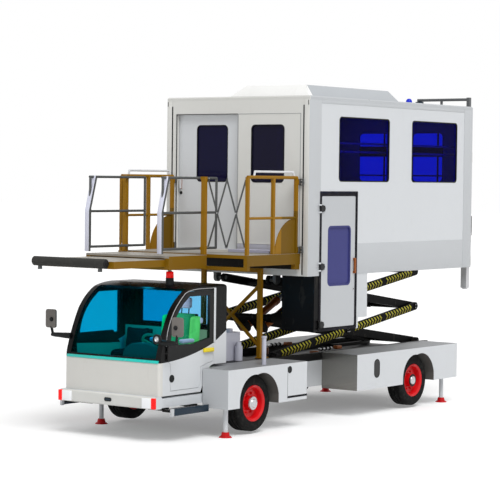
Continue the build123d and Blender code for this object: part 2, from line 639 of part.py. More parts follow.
# lift cylinders: levers on the lower inner arms' front shaft, lugs on the upper outer arms
arm_l = math.hypot(SPAN, STAGE)
CA, SA = SPAN / arm_l, STAGE / arm_l
PA = (PIVOT_X - CYL_FOOT * CA + LEVER * SA, Z1 - CYL_FOOT * SA - LEVER * CA)
QT = (PIVOT_X - CYL_HEAD * CA, Z1 + CYL_HEAD * SA)
QB = (QT[0] + LEVER * SA, QT[1] + LEVER * CA)
cyl_l = math.hypot(QB[0] - PA[0], QB[1] - PA[1])
ux, uz = (QB[0] - PA[0]) / cyl_l, (QB[1] - PA[1]) / cyl_l


def along(start, y, length):
    """A point on a cylinder's line."""
    return (start[0] + ux * length, y, start[1] + uz * length)


LUG_IN = CYL_R + 6
LUG_OUT = CYL_R + 20
upper_a.append(shaft(QT[0], QT[1], ARM_OUT[0] + 5, ROD_R))
barrels = []
rods = []
for y in (CYL_Y, -CYL_Y):
    for k in (1, -1):
        y0, y1 = sorted((y + k * LUG_IN, y + k * LUG_OUT))
        lower_b.append(arm((PIVOT_X, Z1), PA, y0, y1, 50))
        upper_a.append(arm(QT, QB, y0, y1, 42))
    lower_b.append(cyl((PA[0], y - LUG_OUT, PA[1]), (PA[0], y + LUG_OUT, PA[1]), CYL_PIN_R))
    tube = cyl(along(PA, y, 40), along(PA, y, BARREL_L), CYL_R)
    gland = cyl(along(PA, y, BARREL_L - 70), along(PA, y, BARREL_L), CYL_R + 8)
    bore = cyl(along(PA, y, 110), along(PA, y, BARREL_L + 1), ROD_R + RUN)
    eye = cyl((PA[0], y - CYL_R, PA[1]), (PA[0], y + CYL_R, PA[1]), CYL_R)
    barrels.append(fuse([tube, gland, eye]) - bore - hole_y(PA[0], PA[1], CYL_PIN_R + RUN))
    rod = cyl(along(PA, y, 240), along(QB, y, -30), ROD_R)
    rods.append(fuse([rod, cyl((QB[0], y - 50, QB[1]), (QB[0], y + 50, QB[1]), 44)]))
lower_b = fuse(lower_b)
upper_a = fuse(upper_a)

# cabin floor and underframe: long beams, cross beams, ears for the front pins, roller tracks
BEAM_Y = (490, 560)
BEAM_TOP = FLOOR_Z - FLOOR_T + 10
inner_l = -CABIN_L + WALL
inner_y = HALF - WALL
floor = box(inner_l, -WALL, -inner_y, inner_y, FLOOR_Z - FLOOR_T, FLOOR_Z)
floor = floor - box(WELL_X[0], WELL_X[1], WELL_Y, HALF, CABIN_Z0 - 70, FLOOR_Z + 110)
under = both(box(inner_l, -WALL, BEAM_Y[0], BEAM_Y[1], CABIN_Z0, BEAM_TOP))
CROSS_BEAMS = 4
first, last = -CABIN_L + 60, -150
for i in range(CROSS_BEAMS):
    x = first + (last - first) * i / (CROSS_BEAMS - 1)
    under.append(box(x, x + 80, -inner_y, WELL_Y - 15, CABIN_Z0 + 20, BEAM_TOP))
ear = fuse([box(PIVOT_X - 60, PIVOT_X + 60, BEAM_Y[0] + 10, BEAM_Y[1] - 10, Z2, CABIN_Z0 + 20),
            cyl((PIVOT_X, BEAM_Y[0] + 10, Z2), (PIVOT_X, BEAM_Y[1] - 10, Z2), 60),
            cyl((PIVOT_X, ARM_IN[0] - 6, Z2), (PIVOT_X, BEAM_Y[0] + 20, Z2), PIN_R)])
track_x = (XR - 100, XR - 100 + TRACK_L)
top_track = fuse([box(*track_x, ARM_IN[0] - 30, ARM_IN[1] + 5, Z2 + TOP_ROLLER_R + SLIP, CABIN_Z0 + 25),
                  box(*track_x, ARM_IN[0] - 30, BEAM_Y[0] + 10, CABIN_Z0, CABIN_Z0 + 25)])
COVER_T = 6
covering = box(-CABIN_L + 120, -120, -HALF + 60, WELL_Y - 15, FLOOR_Z - 5, FLOOR_Z + COVER_T)
cabin_floor = fuse([floor, covering] + under + both(ear) + both(top_track))

# cabin side walls with their windows and the side door's opening
front_win = (-WIN_FRONT - WIN_L, -WIN_FRONT)
rear_win = (-CABIN_L + WIN_REAR, -CABIN_L + WIN_REAR + WIN_L)
side = box(-CABIN_L, 0, HALF - WALL, HALF, CABIN_Z0, WALL_TOP)
panes = []
for win in (front_win, rear_win):
    side = side - window(*win, HALF - WALL - 10, HALF + 10, *WIN_Z, WIN_R, Axis.Y)
    panes += both(window(*win, HALF - PANE_IN - PANE_T, HALF - PANE_IN, *WIN_Z, WIN_R, Axis.Y))
left_wall = side - box(DOOR_X[0], DOOR_X[1], HALF - WALL - 10, HALF + 10, CABIN_Z0 - 10, DOOR_Z[1])
GRAB_X = (DOOR_X[0] + 30, DOOR_X[0] + 60)
GRAB_Z = (CABIN_Z0 + 15, CABIN_Z0 + 225)
grab = fuse([box(*GRAB_X, HALF + 15, HALF + 35, *GRAB_Z),
             box(*GRAB_X, HALF - 5, HALF + 35, GRAB_Z[0], GRAB_Z[0] + 25),
             box(*GRAB_X, HALF - 5, HALF + 35, GRAB_Z[1] - 25, GRAB_Z[1])])
right_wall = fuse([mirror_y(side), mirror_y(grab)])

# door well hanging below the floor, with its steps and the panel behind it
well_z = DOOR_Z[0] - WELL_FLOOR
well = box(*WELL_X, WELL_Y, HALF, well_z, CABIN_Z0)
well = well - box(WELL_X[0] + WALL, WELL_X[1] - WALL, WELL_Y + WALL, HALF + 10, DOOR_Z[0], CABIN_Z0 + 10)
well = [well, box(DOOR_X[1], WELL_X[1], HALF - WALL, HALF, well_z, CABIN_Z0),
        box(WELL_X[0], DOOR_X[0], HALF - WALL, HALF, well_z, CABIN_Z0),
        box(WELL_X[0] - WELL_PANEL_L, WELL_X[0], WELL_Y, HALF, CABIN_Z0 - 623, CABIN_Z0)]
for i, depth in enumerate(STEP_DEPTH):
    well.append(box(WELL_X[0] + 40, WELL_X[1] - 40, WELL_Y + 40, WELL_Y + 40 + depth, DOOR_Z[0] - 5,
                    DOOR_Z[0] + STEP_RISE * (i + 1) - 10 * i))
# side door, its window, handle and hinge eyes; the pins stand on the well and on the wall
door = box(DOOR_X[0] + DOOR_GAP, DOOR_X[1] - DOOR_GAP, HALF - WALL, HALF,
           DOOR_Z[0] + DOOR_GAP, DOOR_Z[1] - DOOR_GAP)
door_win = (DOOR_X[0] + 135, DOOR_X[1] - 208)
door_win_z = (DOOR_Z[0] + 598, DOOR_Z[1] - 475)
door = door - window(*door_win, HALF - WALL - 10, HALF + 10, *door_win_z, END_WIN_R, Axis.Y)
door_pane = window(*door_win, HALF - PANE_IN - PANE_T, HALF - PANE_IN, *door_win_z, END_WIN_R, Axis.Y)
hx, hy = DOOR_X[1] + 6, HALF + 18
eyes = []
well_pins = []
for z in (DOOR_Z[0] + 59, CABIN_Z0 + 125, DOOR_Z[1] - 223):
    leaf_s = fuse([cyl((hx, hy, z - 40), (hx, hy, z + 40), HINGE_R),
                   box(hx - 100, hx - 12, HALF - 3, hy + 4, z - 40, z + 40),
                   box(hx - 20, hx, HALF + 7, hy + 4, z - 40, z + 40)])
    eyes.append(leaf_s - cyl((hx, hy, z - 41), (hx, hy, z + 41), HINGE_PIN + RUN))
    ears = [cyl((hx, hy, z - 60), (hx, hy, z + 60), HINGE_PIN)]
    for zp in (z - 61, z + 41):
        ears.append(fuse([cyl((hx, hy, zp), (hx, hy, zp + 20), HINGE_R),
                          box(hx, hx + 40, HALF, hy + 8, zp, zp + 20)]))
    well_pins.append(fuse(ears))
well_door = fuse([door, grab] + eyes)
door_well = fuse(well + [well_pins[0]])
left_wall = fuse([left_wall, well_pins[1], well_pins[2]])

# front wall with its fixed window, and the sliding leaf behind it
front = box(-WALL, 0, -inner_y, inner_y, CABIN_Z0, WALL_TOP)
front = front - box(-WALL - 5, 5, LEAF_Y[0], LEAF_Y[1], FLOOR_Z + 10, END_TOP)
fixed_y = (LEAF_Y[1] + 241, HALF - 424)
front = front - window(-WALL - 5, 5, *fixed_y, *END_WIN_Z, END_WIN_R, Axis.X)
panes.append(window(-PANE_IN - PANE_T, -PANE_IN, *fixed_y, *END_WIN_Z, END_WIN_R, Axis.X))
leaf_x = (-WALL - 10 - LEAF_T, -WALL - 10)
leaf_y = (LEAF_Y[0] - LEAF_LAP, LEAF_Y[1] + LEAF_LAP)
leaf_win = (LEAF_Y[0] + 323, LEAF_Y[1] - 219)
PULL_Z = (FLOOR_Z + 860, FLOOR_Z + 1010)
leaf = box(*leaf_x, *leaf_y, FLOOR_Z + SLIP, END_TOP + 25)
leaf = leaf - window(leaf_x[0] - 5, leaf_x[1] + 5, *leaf_win, *END_WIN_Z, END_WIN_R, Axis.X)
leaf = fuse([leaf, box(leaf_x[1] - 1, leaf_x[1] + 35, LEAF_Y[0] + 25, LEAF_Y[0] + 50, *PULL_Z)])
leaf_pane = window(leaf_x[0] + 16, leaf_x[0] + 16 + PANE_T, *leaf_win, *END_WIN_Z, END_WIN_R, Axis.X)

# rear wall and its sliding door
rear_x = (-CABIN_L, -CABIN_L + WALL)
rear = box(*rear_x, -inner_y, inner_y, CABIN_Z0, WALL_TOP)
rear = rear - box(rear_x[0] - 5, rear_x[1] + 5, *REAR_Y, FLOOR_Z + 10, END_TOP)
rear_leaf_x = (rear_x[1] + 10, rear_x[1] + 10 + LEAF_T)
rear_door = box(*rear_leaf_x, REAR_Y[0] - LEAF_LAP, REAR_Y[1] + LEAF_LAP, FLOOR_Z + SLIP, END_TOP + 25)
rear_pull = box(rear_leaf_x[0] - 35, rear_leaf_x[0] + 1, REAR_Y[1] - 70, REAR_Y[1] - 45, *PULL_Z)
rear_door = fuse([rear_door, rear_pull])

# roof, fairing, blue dome and the rack at the rear
roof = box(-CABIN_L, 0, -HALF, HALF, WALL_TOP, ROOF_Z)
roof = roof.chamfer(15, None, roof.faces().sort_by(Axis.Z)[-1].edges())
fair_y = (FAIRING_Y[0], HALF - FAIRING_Y[1])
fair_m = (fair_y[0] + fair_y[1]) / 2
fair_w = fair_y[1] - fair_y[0]
base = Plane.XY.offset(ROOF_Z - 10) * Pos(-20 - FAIRING_L / 2, fair_m) * Rectangle(FAIRING_L, fair_w)
top = Pos(35 - FAIRING_L / 2, fair_m + 45) * Rectangle(FAIRING_L - 270, fair_w - 300)
top = Plane.XY.offset(ROOF_Z + FAIRING_H) * top
cabin_roof = fuse([roof, loft([base, top])])
DOME = (-CABIN_L + 520, -HALF + 300)
dome = fuse([cyl((*DOME, ROOF_Z), (*DOME, ROOF_Z + 50), 60), cone(*DOME, ROOF_Z + 50, 55, 34, 70)])
rack_x = -CABIN_L + 50
rack_end = FAIRING_Y[0] + 390
rack = [box(rack_x - 30, rack_x + 30, HALF - 70, HALF - 20, ROOF_Z, ROOF_Z + 140),
        cyl((rack_x, rack_end, ROOF_Z + 110), (rack_x, HALF - 50, ROOF_Z + 110), 22)]
for y in (rack_end, rack_end + 420):
    rack.append(box(rack_x - 15, rack_x + 15, y, y + 30, ROOF_Z, ROOF_Z + 112))
roof_lamps = [dome, fuse(rack)]

# tail lift: guides on the rear wall, sliding mast, carriage and folding platform
GUIDE_H = 150
mx = MAST_X
for z in (CABIN_Z0 + 20, FLOOR_Z + 60, END_TOP - 605):
    g = box(mx - 43, -CABIN_L + 5, MAST_Y[0] - 30, MAST_Y[1] + 30, z, z + GUIDE_H)
    g = g - box(mx - 56, mx + 40 + SLIP, MAST_Y[0] - SLIP, MAST_Y[1] + SLIP, z - 10, z + GUIDE_H + 40)
    # room for the mast's head to pass the inner lip
    g = g - box(mx - 56, mx - 2, MAST_Y[0] - 40, MAST_Y[0] + 30, z - 10, z + GUIDE_H + 40)
    rear = fuse([rear] + both(g))
MAST_Z = (CABIN_Z0 - 330, END_TOP + 25)
mast = both(box(mx - 50, mx + 40, MAST_Y[0], MAST_Y[1], *MAST_Z))
mast.append(box(mx - 50, mx - 10, -MAST_Y[0] - 10, MAST_Y[0] + 10, MAST_Z[1] - 90, MAST_Z[1]))
tail_mast = fuse(mast)
tc = (mx - 110, mx - 50 - SLIP)
tail_carriage = [box(*tc, -TAIL_HALF, TAIL_HALF, TAIL_Z - 60, TAIL_Z + 120)]
tail_carriage += both(box(*tc, TAIL_HALF - 40, MAST_Y[1], TAIL_Z - 60, TAIL_Z + 240))
tp = TAIL_X - 15
FOLD_R = 10
tail_ear = fuse([box(tp, mx - 100, TAIL_HALF + 1, TAIL_HALF + 31, TAIL_Z - 22, TAIL_Z + 22),
                 cyl((tp, TAIL_HALF + 1, TAIL_Z), (tp, TAIL_HALF + 31, TAIL_Z), 22),
                 cyl((tp, TAIL_HALF - 60, TAIL_Z), (tp, TAIL_HALF + 10, TAIL_Z), FOLD_R)])
tail_carriage = fuse(tail_carriage + both(tail_ear))
platform = box(TAIL_X - 40, TAIL_X - 40 + TAIL_T, -TAIL_HALF, TAIL_HALF, TAIL_Z + 20, TAIL_Z + TAIL_H)
RIBS = 5
for i in range(RIBS):
    y = -TAIL_HALF + 200 + (2 * TAIL_HALF - 400) * i / (RIBS - 1)
    platform = platform - box(TAIL_X - 20, TAIL_X + 20, y - 120, y + 120, TAIL_Z + 120, TAIL_Z + TAIL_H - 100)
tail_platform = [platform]
tail_platform += both(cyl((tp, TAIL_HALF - 180, TAIL_Z), (tp, TAIL_HALF, TAIL_Z), 18))
tail_platform += both(box(tp - 15, tp + 15, TAIL_HALF - 180, TAIL_HALF, TAIL_Z, TAIL_Z + 40))
tail_platform = fuse(tail_platform)
for s in both(cyl((tp, TAIL_HALF - 70, TAIL_Z), (tp, TAIL_HALF + 1, TAIL_Z), FOLD_R + RUN)):
    tail_platform = tail_platform - s

# docking deck on the cabin's front: beams, floor, step box and tread plate
under_z = FLOOR_Z - 215
beams = both(box(0, DECK_L, DECK_HALF - 60, DECK_HALF, FLOOR_Z - 153, FLOOR_Z - 45))
beams.append(box(20, 120, -DECK_HALF, DECK_HALF, FLOOR_Z - 224, FLOOR_Z - 45))
beams.append(box(DECK_L - 55, DECK_L, -DECK_HALF, DECK_HALF, under_z, under_z + 47))
beams += both(box(DECK_L - 55, DECK_L, DECK_HALF - 60, DECK_HALF, under_z, FLOOR_Z - 45))
beams.append(box(0, DECK_L, -DECK_HALF, DECK_HALF, DECK_TOP - DECK_T, DECK_TOP))
step_box = box(140, 560, 300, DECK_HALF - 120, DECK_TOP, DECK_TOP + 43)
tread = box(60, DECK_L - 60, -DECK_HALF + 70, 280, DECK_TOP - 5, DECK_TOP + 5)
deck_frame = fuse(beams + [step_box, tread])

# deck railings: posts, rails, hand loops, corner gussets and wall clamps
MID_Z = FLOOR_Z + 485
LOOP_Z = RAIL_TOP + 75
POST_X = (75, DECK_L / 2, DECK_L - 30)
GUSSET = (75, 485, 483)
deck_rails = []
half_post = RAIL_POST / 2
for y in (RAIL_Y, -RAIL_Y):
    rails = []
    for x in POST_X:
        rails.append(box(x - half_post, x + half_post, y - half_post, y + half_post, DECK_TOP, RAIL_TOP))
    rails.append(cyl((60, y, RAIL_TOP), (POST_X[2], y, RAIL_TOP), half_post))
    rails.append(cyl((60, y, MID_Z), (POST_X[2], y, MID_Z), 18))
    loop = [(130, y, RAIL_TOP), (150, y, LOOP_Z), (1030, y, LOOP_Z), (1050, y, RAIL_TOP)]
    rails.append(tube_path(loop, 15))
    gx, gl, gh = GUSSET
    curve = ((gx + gl * 0.75, DECK_TOP + gh * 0.67), (gx, DECK_TOP + gh))
    rails.append(prism(outline((gx, DECK_TOP), (gx + gl, DECK_TOP), curve), y - 6, y + 6))
    for z in (FLOOR_Z + 10, RAIL_TOP - 95):
        rails.append(box(0, 60, y - 30, y + 30, z, z + 70))
    deck_rails.append(fuse(rails))

# carriage that slides across the deck's end
cx0, cx1 = CAR_X
car_z = FLOOR_Z - 200
car = [box(cx0, cx1, CAR_Y - CAR_HALF, CAR_Y + CAR_HALF, FLOOR_Z - 50, FLOOR_Z - 18)]
for s in (1, -1):
    car.append(box(cx0, cx1, CAR_Y + s * (CAR_HALF - CAR_SIDE), CAR_Y + s * CAR_HALF, car_z, FLOOR_Z - 45))
    car.append(box(cx0, cx0 + 60, CAR_Y + s * (CAR_HALF - 60), CAR_Y + s * CAR_HALF, FLOOR_Z - 30, RAIL_TOP))
    for z in (FLOOR_Z + 70, RAIL_TOP - 20):
        catch_y = (CAR_Y + s * (RAIL_HALF + RAIL_R + SLIP), CAR_Y + s * (CAR_HALF - 50))
        car.append(box(cx0, cx0 + 60, *catch_y, z - 20, z + 20))
car.append(box(cx0, cx0 + 60, CAR_Y - CAR_HALF, CAR_Y + CAR_HALF, car_z - 10, BRIDGE_Z[0] - SLIP))
car.append(box(cx1 - 60, cx1, CAR_Y - CAR_HALF, CAR_Y + CAR_HALF, car_z, BRIDGE_Z[0] - SLIP))
carriage = fuse(car)

# bridge with its rubber roller
bridge = box(*BRIDGE_X, CAR_Y - BRIDGE_HALF, CAR_Y + BRIDGE_HALF, *BRIDGE_Z)
roller = cyl((ROLL_X, CAR_Y - BRIDGE_HALF - 5, ROLL_Z), (ROLL_X, CAR_Y + BRIDGE_HALF + 5, ROLL_Z), ROLL_R)
roller = roller - bridge

# sliding side rails, each with a bent guard at its end
RAIL_X = (905, 2060)
GUARD = outline((2075, FLOOR_Z + 10), (2115, FLOOR_Z + 10), (2118, FLOOR_Z + 555), (1985, RAIL_TOP - 5),
                (1945, RAIL_TOP - 15), (2078, FLOOR_Z + 550))
side_rails = {}
for tag, s in (("left", 1), ("right", -1)):
    y = CAR_Y + s * RAIL_HALF
    rail_z = (RAIL_TOP - 20, FLOOR_Z + 550, FLOOR_Z + 70)
    rr = [cyl((RAIL_X[0], y, z), (RAIL_X[1] + 15, y, z), RAIL_R) for z in rail_z]
    rr += [cyl((x, y, FLOOR_Z + 60), (x, y, RAIL_TOP - 15), RAIL_R) for x in RAIL_X]
    side_rails[tag] = fuse(rr + [prism(GUARD, y - 28, y + 28)])

# lattice gates between the deck's corner posts and the carriage's posts: crossed flat bars on pins
GATE_Z = (FLOOR_Z + 90, RAIL_TOP - 25)
GATE_CELLS = {"left": 2, "right": 1}
GATE_IN = 16
BAR_W = 24
BAR_T = 6
gate_x = DECK_L - 20
post_y = RAIL_Y - half_post
lattice = {}
for tag, s in (("left", 1), ("right", -1)):
    start = CAR_Y + s * CAR_HALF
    width = abs(s * post_y - start)
    cells = GATE_CELLS[tag]
    step_y = (width - 2 * GATE_IN) / cells
    length = math.hypot(step_y, GATE_Z[1] - GATE_Z[0])
    turn = math.degrees(math.atan2(step_y, GATE_Z[1] - GATE_Z[0]))
    bars = [box(gate_x - 9, gate_x + 9, s * post_y - s * 22, s * post_y, GATE_Z[0] - 12, GATE_Z[1] + 12)]
    for j in range(cells):
        ya = start + s * (GATE_IN + step_y * j)
        ym = ya + s * step_y / 2
        zm = (GATE_Z[0] + GATE_Z[1]) / 2
        for k in (1, -1):
            strip = Box(BAR_T, BAR_W, length + BAR_W)
            bars.append(Pos(gate_x + k * BAR_T / 2, ym, zm) * Rot(k * turn, 0, 0) * strip)
        pin_at = [(ym, zm)] + [(y, z) for y in (ya, ya + s * step_y) for z in GATE_Z]
        bars += [cyl((gate_x - 9, y, z), (gate_x + 9, y, z), 9) for y, z in pin_at]
    lattice[tag] = fuse(bars)

# export
save("chassis_frame", chassis_frame)
save("side_boxes", both(front_box) + both(rear_box))
save("bumper", bumper)
save("front_lamps", lamps)
save("cab_beacon", beacon)
save("cab_shell", cab_shell)
save("cab_top", cab_top)
save("cab_glass", [screen, back_pane])
save("cab_fittings", fittings)
save("cab_seats", seat_parts)
save("rest_tower", tower)
save("power_pack", power_pack)
for tag, s in (("left", 1), ("right", -1)):
    pick = 0 if s > 0 else 1
    save("cab_door_" + tag, both(door_left)[pick])
    save("cab_pane_" + tag, both(pane_left)[pick])
    save("knuckle_" + tag, both(knuckle)[pick])
    for i, end in enumerate(("front", "rear")):
        save("tyre_" + end + "_" + tag, both(ring(TYRE, WHEEL_X[i], WHEEL_Y, WHEEL_Z))[pick])
        save("rim_" + end + "_" + tag, both(ring(RIM, WHEEL_X[i], WHEEL_Y, WHEEL_Z))[pick])
        save("jack_" + end + "_" + tag, jacks[end + "_" + tag])
    save("side_rail_" + tag, side_rails[tag])
    save("lattice_" + tag, lattice[tag])
save("scissor_lower_a", lower_a)
save("scissor_lower_b", lower_b)
save("scissor_upper_a", upper_a)
save("scissor_upper_b", upper_b)
save("lift_barrels", barrels)
save("lift_rods", rods)
save("cabin_floor", cabin_floor)
save("cabin_sides", [left_wall, right_wall])
save("cabin_ends", [front, rear])
save("cabin_glass", panes)
save("cabin_roof", cabin_roof)
save("roof_lamps", roof_lamps)
save("door_well", door_well)
save("well_door", well_door)
save("well_door_pane", door_pane)
save("front_leaf", leaf)
save("front_leaf_pane", leaf_pane)
save("rear_door", rear_door)
save("tail_mast", tail_mast)
save("tail_carriage", tail_carriage)
save("tail_platform", tail_platform)
save("deck_frame", deck_frame)
save("deck_rails", deck_rails)
save("carriage", carriage)
save("bridge", bridge)
save("bridge_roller", roller)
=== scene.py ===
import json
import math

import bmesh
import bpy
from mathutils import Matrix, Vector


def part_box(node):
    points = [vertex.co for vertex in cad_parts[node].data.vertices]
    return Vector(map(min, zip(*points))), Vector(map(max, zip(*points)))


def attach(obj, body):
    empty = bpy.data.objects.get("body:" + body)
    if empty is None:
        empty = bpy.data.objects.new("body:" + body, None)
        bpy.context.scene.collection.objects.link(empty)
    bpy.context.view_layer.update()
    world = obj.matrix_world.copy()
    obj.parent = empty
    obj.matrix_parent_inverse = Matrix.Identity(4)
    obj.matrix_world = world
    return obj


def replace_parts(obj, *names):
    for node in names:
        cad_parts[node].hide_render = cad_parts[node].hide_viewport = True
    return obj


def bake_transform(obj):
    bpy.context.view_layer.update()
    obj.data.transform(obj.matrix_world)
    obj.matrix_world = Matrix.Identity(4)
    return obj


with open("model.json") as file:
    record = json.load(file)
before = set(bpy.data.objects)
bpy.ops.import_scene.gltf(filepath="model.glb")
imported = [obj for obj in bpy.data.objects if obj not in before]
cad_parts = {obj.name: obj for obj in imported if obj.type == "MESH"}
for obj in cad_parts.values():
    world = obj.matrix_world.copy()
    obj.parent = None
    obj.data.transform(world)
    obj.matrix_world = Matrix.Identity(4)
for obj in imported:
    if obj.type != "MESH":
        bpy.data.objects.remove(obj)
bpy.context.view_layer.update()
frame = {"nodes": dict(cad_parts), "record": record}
NODES = frame["nodes"]

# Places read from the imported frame, in metres; x is counted from the cabin's front face
ROOF_LOW, ROOF_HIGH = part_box("cabin_roof")
FRONT_X = ROOF_HIGH.x
CABIN_LENGTH = FRONT_X - ROOF_LOW.x
HALF_W = ROOF_HIGH.y
DECK_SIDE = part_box("deck_frame")[1].y
FRONT_PIECES = ("side_boxes", "bumper", "carriage")
BOX_FRONT, BUMPER_FRONT, CARRIAGE_FRONT = [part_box(node)[1].x - FRONT_X for node in FRONT_PIECES]
SIDES = (("left", 1), ("right", -1))
ENDS = ("front", "rear")


# Shader maths written as expressions

class Wire:
    """A shader socket that takes part in Python arithmetic."""

    def __init__(self, finish, socket):
        self.finish = finish
        self.socket = socket

    def maths(self, operation, other, swapped=False):
        values = (other, self) if swapped else (self, other)
        return self.finish.node("ShaderNodeMath", {"operation": operation}, *values)

    def __add__(self, other):
        return self.maths("ADD", other)

    def __radd__(self, other):
        return self.maths("ADD", other, True)

    def __sub__(self, other):
        return self.maths("SUBTRACT", other)

    def __rsub__(self, other):
        return self.maths("SUBTRACT", other, True)

    def __mul__(self, other):
        return self.maths("MULTIPLY", other)

    def __rmul__(self, other):
        return self.maths("MULTIPLY", other, True)

    def __lt__(self, other):
        return self.maths("LESS_THAN", other)

    def __gt__(self, other):
        return self.maths("GREATER_THAN", other)

    def size(self):
        return self.maths("ABSOLUTE", 0.0)

    def within(self, low, high):
        return (self > low) * (self < high)


class Finish:
    """The nodes of one material, or of the world: node() adds any node, and wires carry the sums."""

    def __init__(self, name, world=None):
        self.owner = world or bpy.data.materials.new(name)
        self.owner.use_nodes = True
        self.tree = self.owner.node_tree
        self.tree.nodes.clear()
        self.output = self.tree.nodes.new("ShaderNodeOutputWorld" if world else "ShaderNodeOutputMaterial")

    def node(self, kind, settings=None, *values, out=0, **named):
        made = self.tree.nodes.new(kind)
        for key, value in (settings or {}).items():
            setattr(made, key, value)
        for key, value in list(enumerate(values)) + list(named.items()):
            name = key if isinstance(key, int) else key.replace("_", " ")
            if isinstance(value, Wire):
                self.tree.links.new(value.socket, made.inputs[name])
            elif value is not None:
                made.inputs[name].default_value = value
        return Wire(self, made.outputs[out])

    def place(self):
        return self.node("ShaderNodeTexCoord", out="Object")

    def axes(self):
        """x, y and z of the surface, with x counted as at() does."""
        place = self.place()
        x, y, z = [self.node("ShaderNodeSeparateXYZ", None, place, out=i) for i in range(3)]
        return x - FRONT_X, y, z

    def noise(self, scale, detail=3.0, rough=0.55, stretch=(1, 1, 1)):
        turned = self.node("ShaderNodeMapping", None, self.place(), Scale=stretch)
        return self.node("ShaderNodeTexNoise", None, turned, Scale=scale, Detail=detail, Roughness=rough)

    def mix(self, share, one, two):
        values = [share] + [None] * 5 + [one, two]
        return self.node("ShaderNodeMix", {"data_type": "RGBA"}, *values, out=2)

    def bump(self, height, strength, distance):
        return self.node("ShaderNodeBump", None, strength, distance, Height=height)

    def principled(self, **inputs):
        return self.node("ShaderNodeBsdfPrincipled", None, **inputs)

    def show(self, shader):
        self.tree.links.new(shader.socket, self.output.inputs["Surface"])
        return self.owner


def rgb(red, green, blue):
    """Screen colour, 0 to 255, as a linear colour."""
    def linear(value):
        share = value / 255
        return share / 12.92 if share <= 0.04045 else ((share + 0.055) / 1.055) ** 2.4
    return (linear(red), linear(green), linear(blue), 1.0)


def darker(colour, share):
    return tuple(c * share for c in colour[:3]) + (1.0,)


def belt_height(x):
    """Height of the cab's belt line, a shallow curve that climbs to the rear."""
    back = 2.592 - x
    return back * back * 0.1377 + back * 0.0374 + 1.029


def paint(name, colour, rough=0.32, coat=0.15, wear=0.10, grain=0.0006, shine=0.3, patches=(), metal=None):
    """Sprayed enamel: soft tone drift, dust in upright streaks, and a fine orange peel.

    A patch is a test on x, y and z with the colour inside it; metal is a test for bare metal."""
    f = Finish(name)
    drift = f.noise(1.7, 4.0)
    dust = f.noise(9.0, 6.0, 0.65, (1, 1, 0.35))
    tone = f.mix(drift * wear, colour, darker(colour, 0.72))
    places = f.axes() if patches else ()
    for test, other in patches:
        tone = f.mix(test(*places), tone, f.mix(drift * 0.4, other, darker(other, 0.7)))
    tone = f.mix((dust > 0.62) * dust * wear * 0.5, tone, DUST)
    bare = metal(*places) if metal else 0.0
    gloss = rough + dust * 0.12
    if metal:
        gloss = gloss - bare * 0.22
    normal = f.bump(f.noise(420.0, 2.0), 0.25, grain)
    return f.show(f.principled(Base_Color=tone, Metallic=bare, Roughness=gloss, Normal=normal,
                               Coat_Weight=coat, Coat_Roughness=0.12, Specular_IOR_Level=shine))


def patched(name, colour, *patches, metal=None, shine=0.25):
    """Enamel without a clear coat, in several colours."""
    return paint(name, colour, 0.36, 0.0, 0.1, 0.0005, shine, patches, metal)


def steel(name, colour, rough=0.34, brushed=(1, 1, 1), metal=1.0):
    f = Finish(name)
    streak = f.noise(60.0, 4.0, 0.6, brushed)
    stain = f.noise(5.0, 5.0, 0.6)
    tone = f.mix(streak * 0.35, colour, darker(colour, 0.6))
    tone = f.mix(stain * stain * 0.2, tone, darker(colour, 0.45))
    normal = f.bump(streak, 0.12, 0.0006)
    return f.show(f.principled(Base_Color=tone, Metallic=metal, Roughness=rough + stain * 0.15,
                               Normal=normal))


def rubber(name, colour, rough=0.75):
    f = Finish(name)
    chalk = f.noise(14.0, 6.0, 0.7)
    tone = f.mix((chalk > 0.54) * chalk * 0.16, colour, rgb(92, 90, 86))
    normal = f.bump(f.noise(600.0, 2.0), 0.3, 0.0008)
    return f.show(f.principled(Base_Color=tone, Roughness=rough + chalk * 0.15, Normal=normal,
                               Specular_IOR_Level=0.15))


def plastic(name, colour, rough=0.5, glow=0.0):
    f = Finish(name)
    grain = f.node("ShaderNodeTexVoronoi", None, f.place(), Scale=520.0)
    drift = f.noise(3.0, 4.0)
    tone = f.mix(drift * 0.25, colour, darker(colour, 0.6))
    normal = f.bump(grain, 0.2, 0.0005)
    # Glow is light the part gives; on the cab's inner parts and the rear windows' inner panes it is painted
    # light
    return f.show(f.principled(Base_Color=tone, Roughness=rough + drift * 0.1, Normal=normal,
                               Specular_IOR_Level=0.2, Emission_Color=tone, Emission_Strength=glow))


def glass(name, tint, body, solid=0.12, dense=None, second=None):
    """A tinted pane: light passes and takes the tint, over a body colour that mirrors a little.

    Dense is a test for where the pane hides what lies behind it, second a test and a tint of its own."""
    f = Finish(name)
    places = f.axes()
    smear = f.noise(2.2, 4.0)
    clear = f.node("ShaderNodeBsdfTransparent", None, tint)
    if second:
        other = f.node("ShaderNodeBsdfTransparent", None, second[1])
        clear = f.node("ShaderNodeMixShader", None, second[0](*places), clear, other)
    tone = f.mix(smear * 0.3, body, darker(body, 0.6))
    facing = f.node("ShaderNodeLayerWeight", None, 0.25, out="Facing")
    share = facing * facing * 0.25 + solid
    if dense:
        tone = f.mix(dense(*places), tone, darker(body, 0.35))
        share = share + dense(*places) * 0.8
    mirror = f.principled(Base_Color=tone, Roughness=0.06 + smear * 0.06, Specular_IOR_Level=0.12)
    return f.show(f.node("ShaderNodeMixShader", None, share, clear, mirror))


def lens(name, colour, glow=0.0):
    f = Finish(name)
    flutes = f.node("ShaderNodeMath", {"operation": "SINE"}, f.axes()[2] * 700.0)
    return f.show(f.principled(Base_Color=colour, Roughness=0.2, Coat_Weight=0.15, Coat_Roughness=0.03,
                               Specular_IOR_Level=0.2, Emission_Color=colour, Emission_Strength=glow,
                               Normal=f.bump(flutes, 0.3, 0.001)))


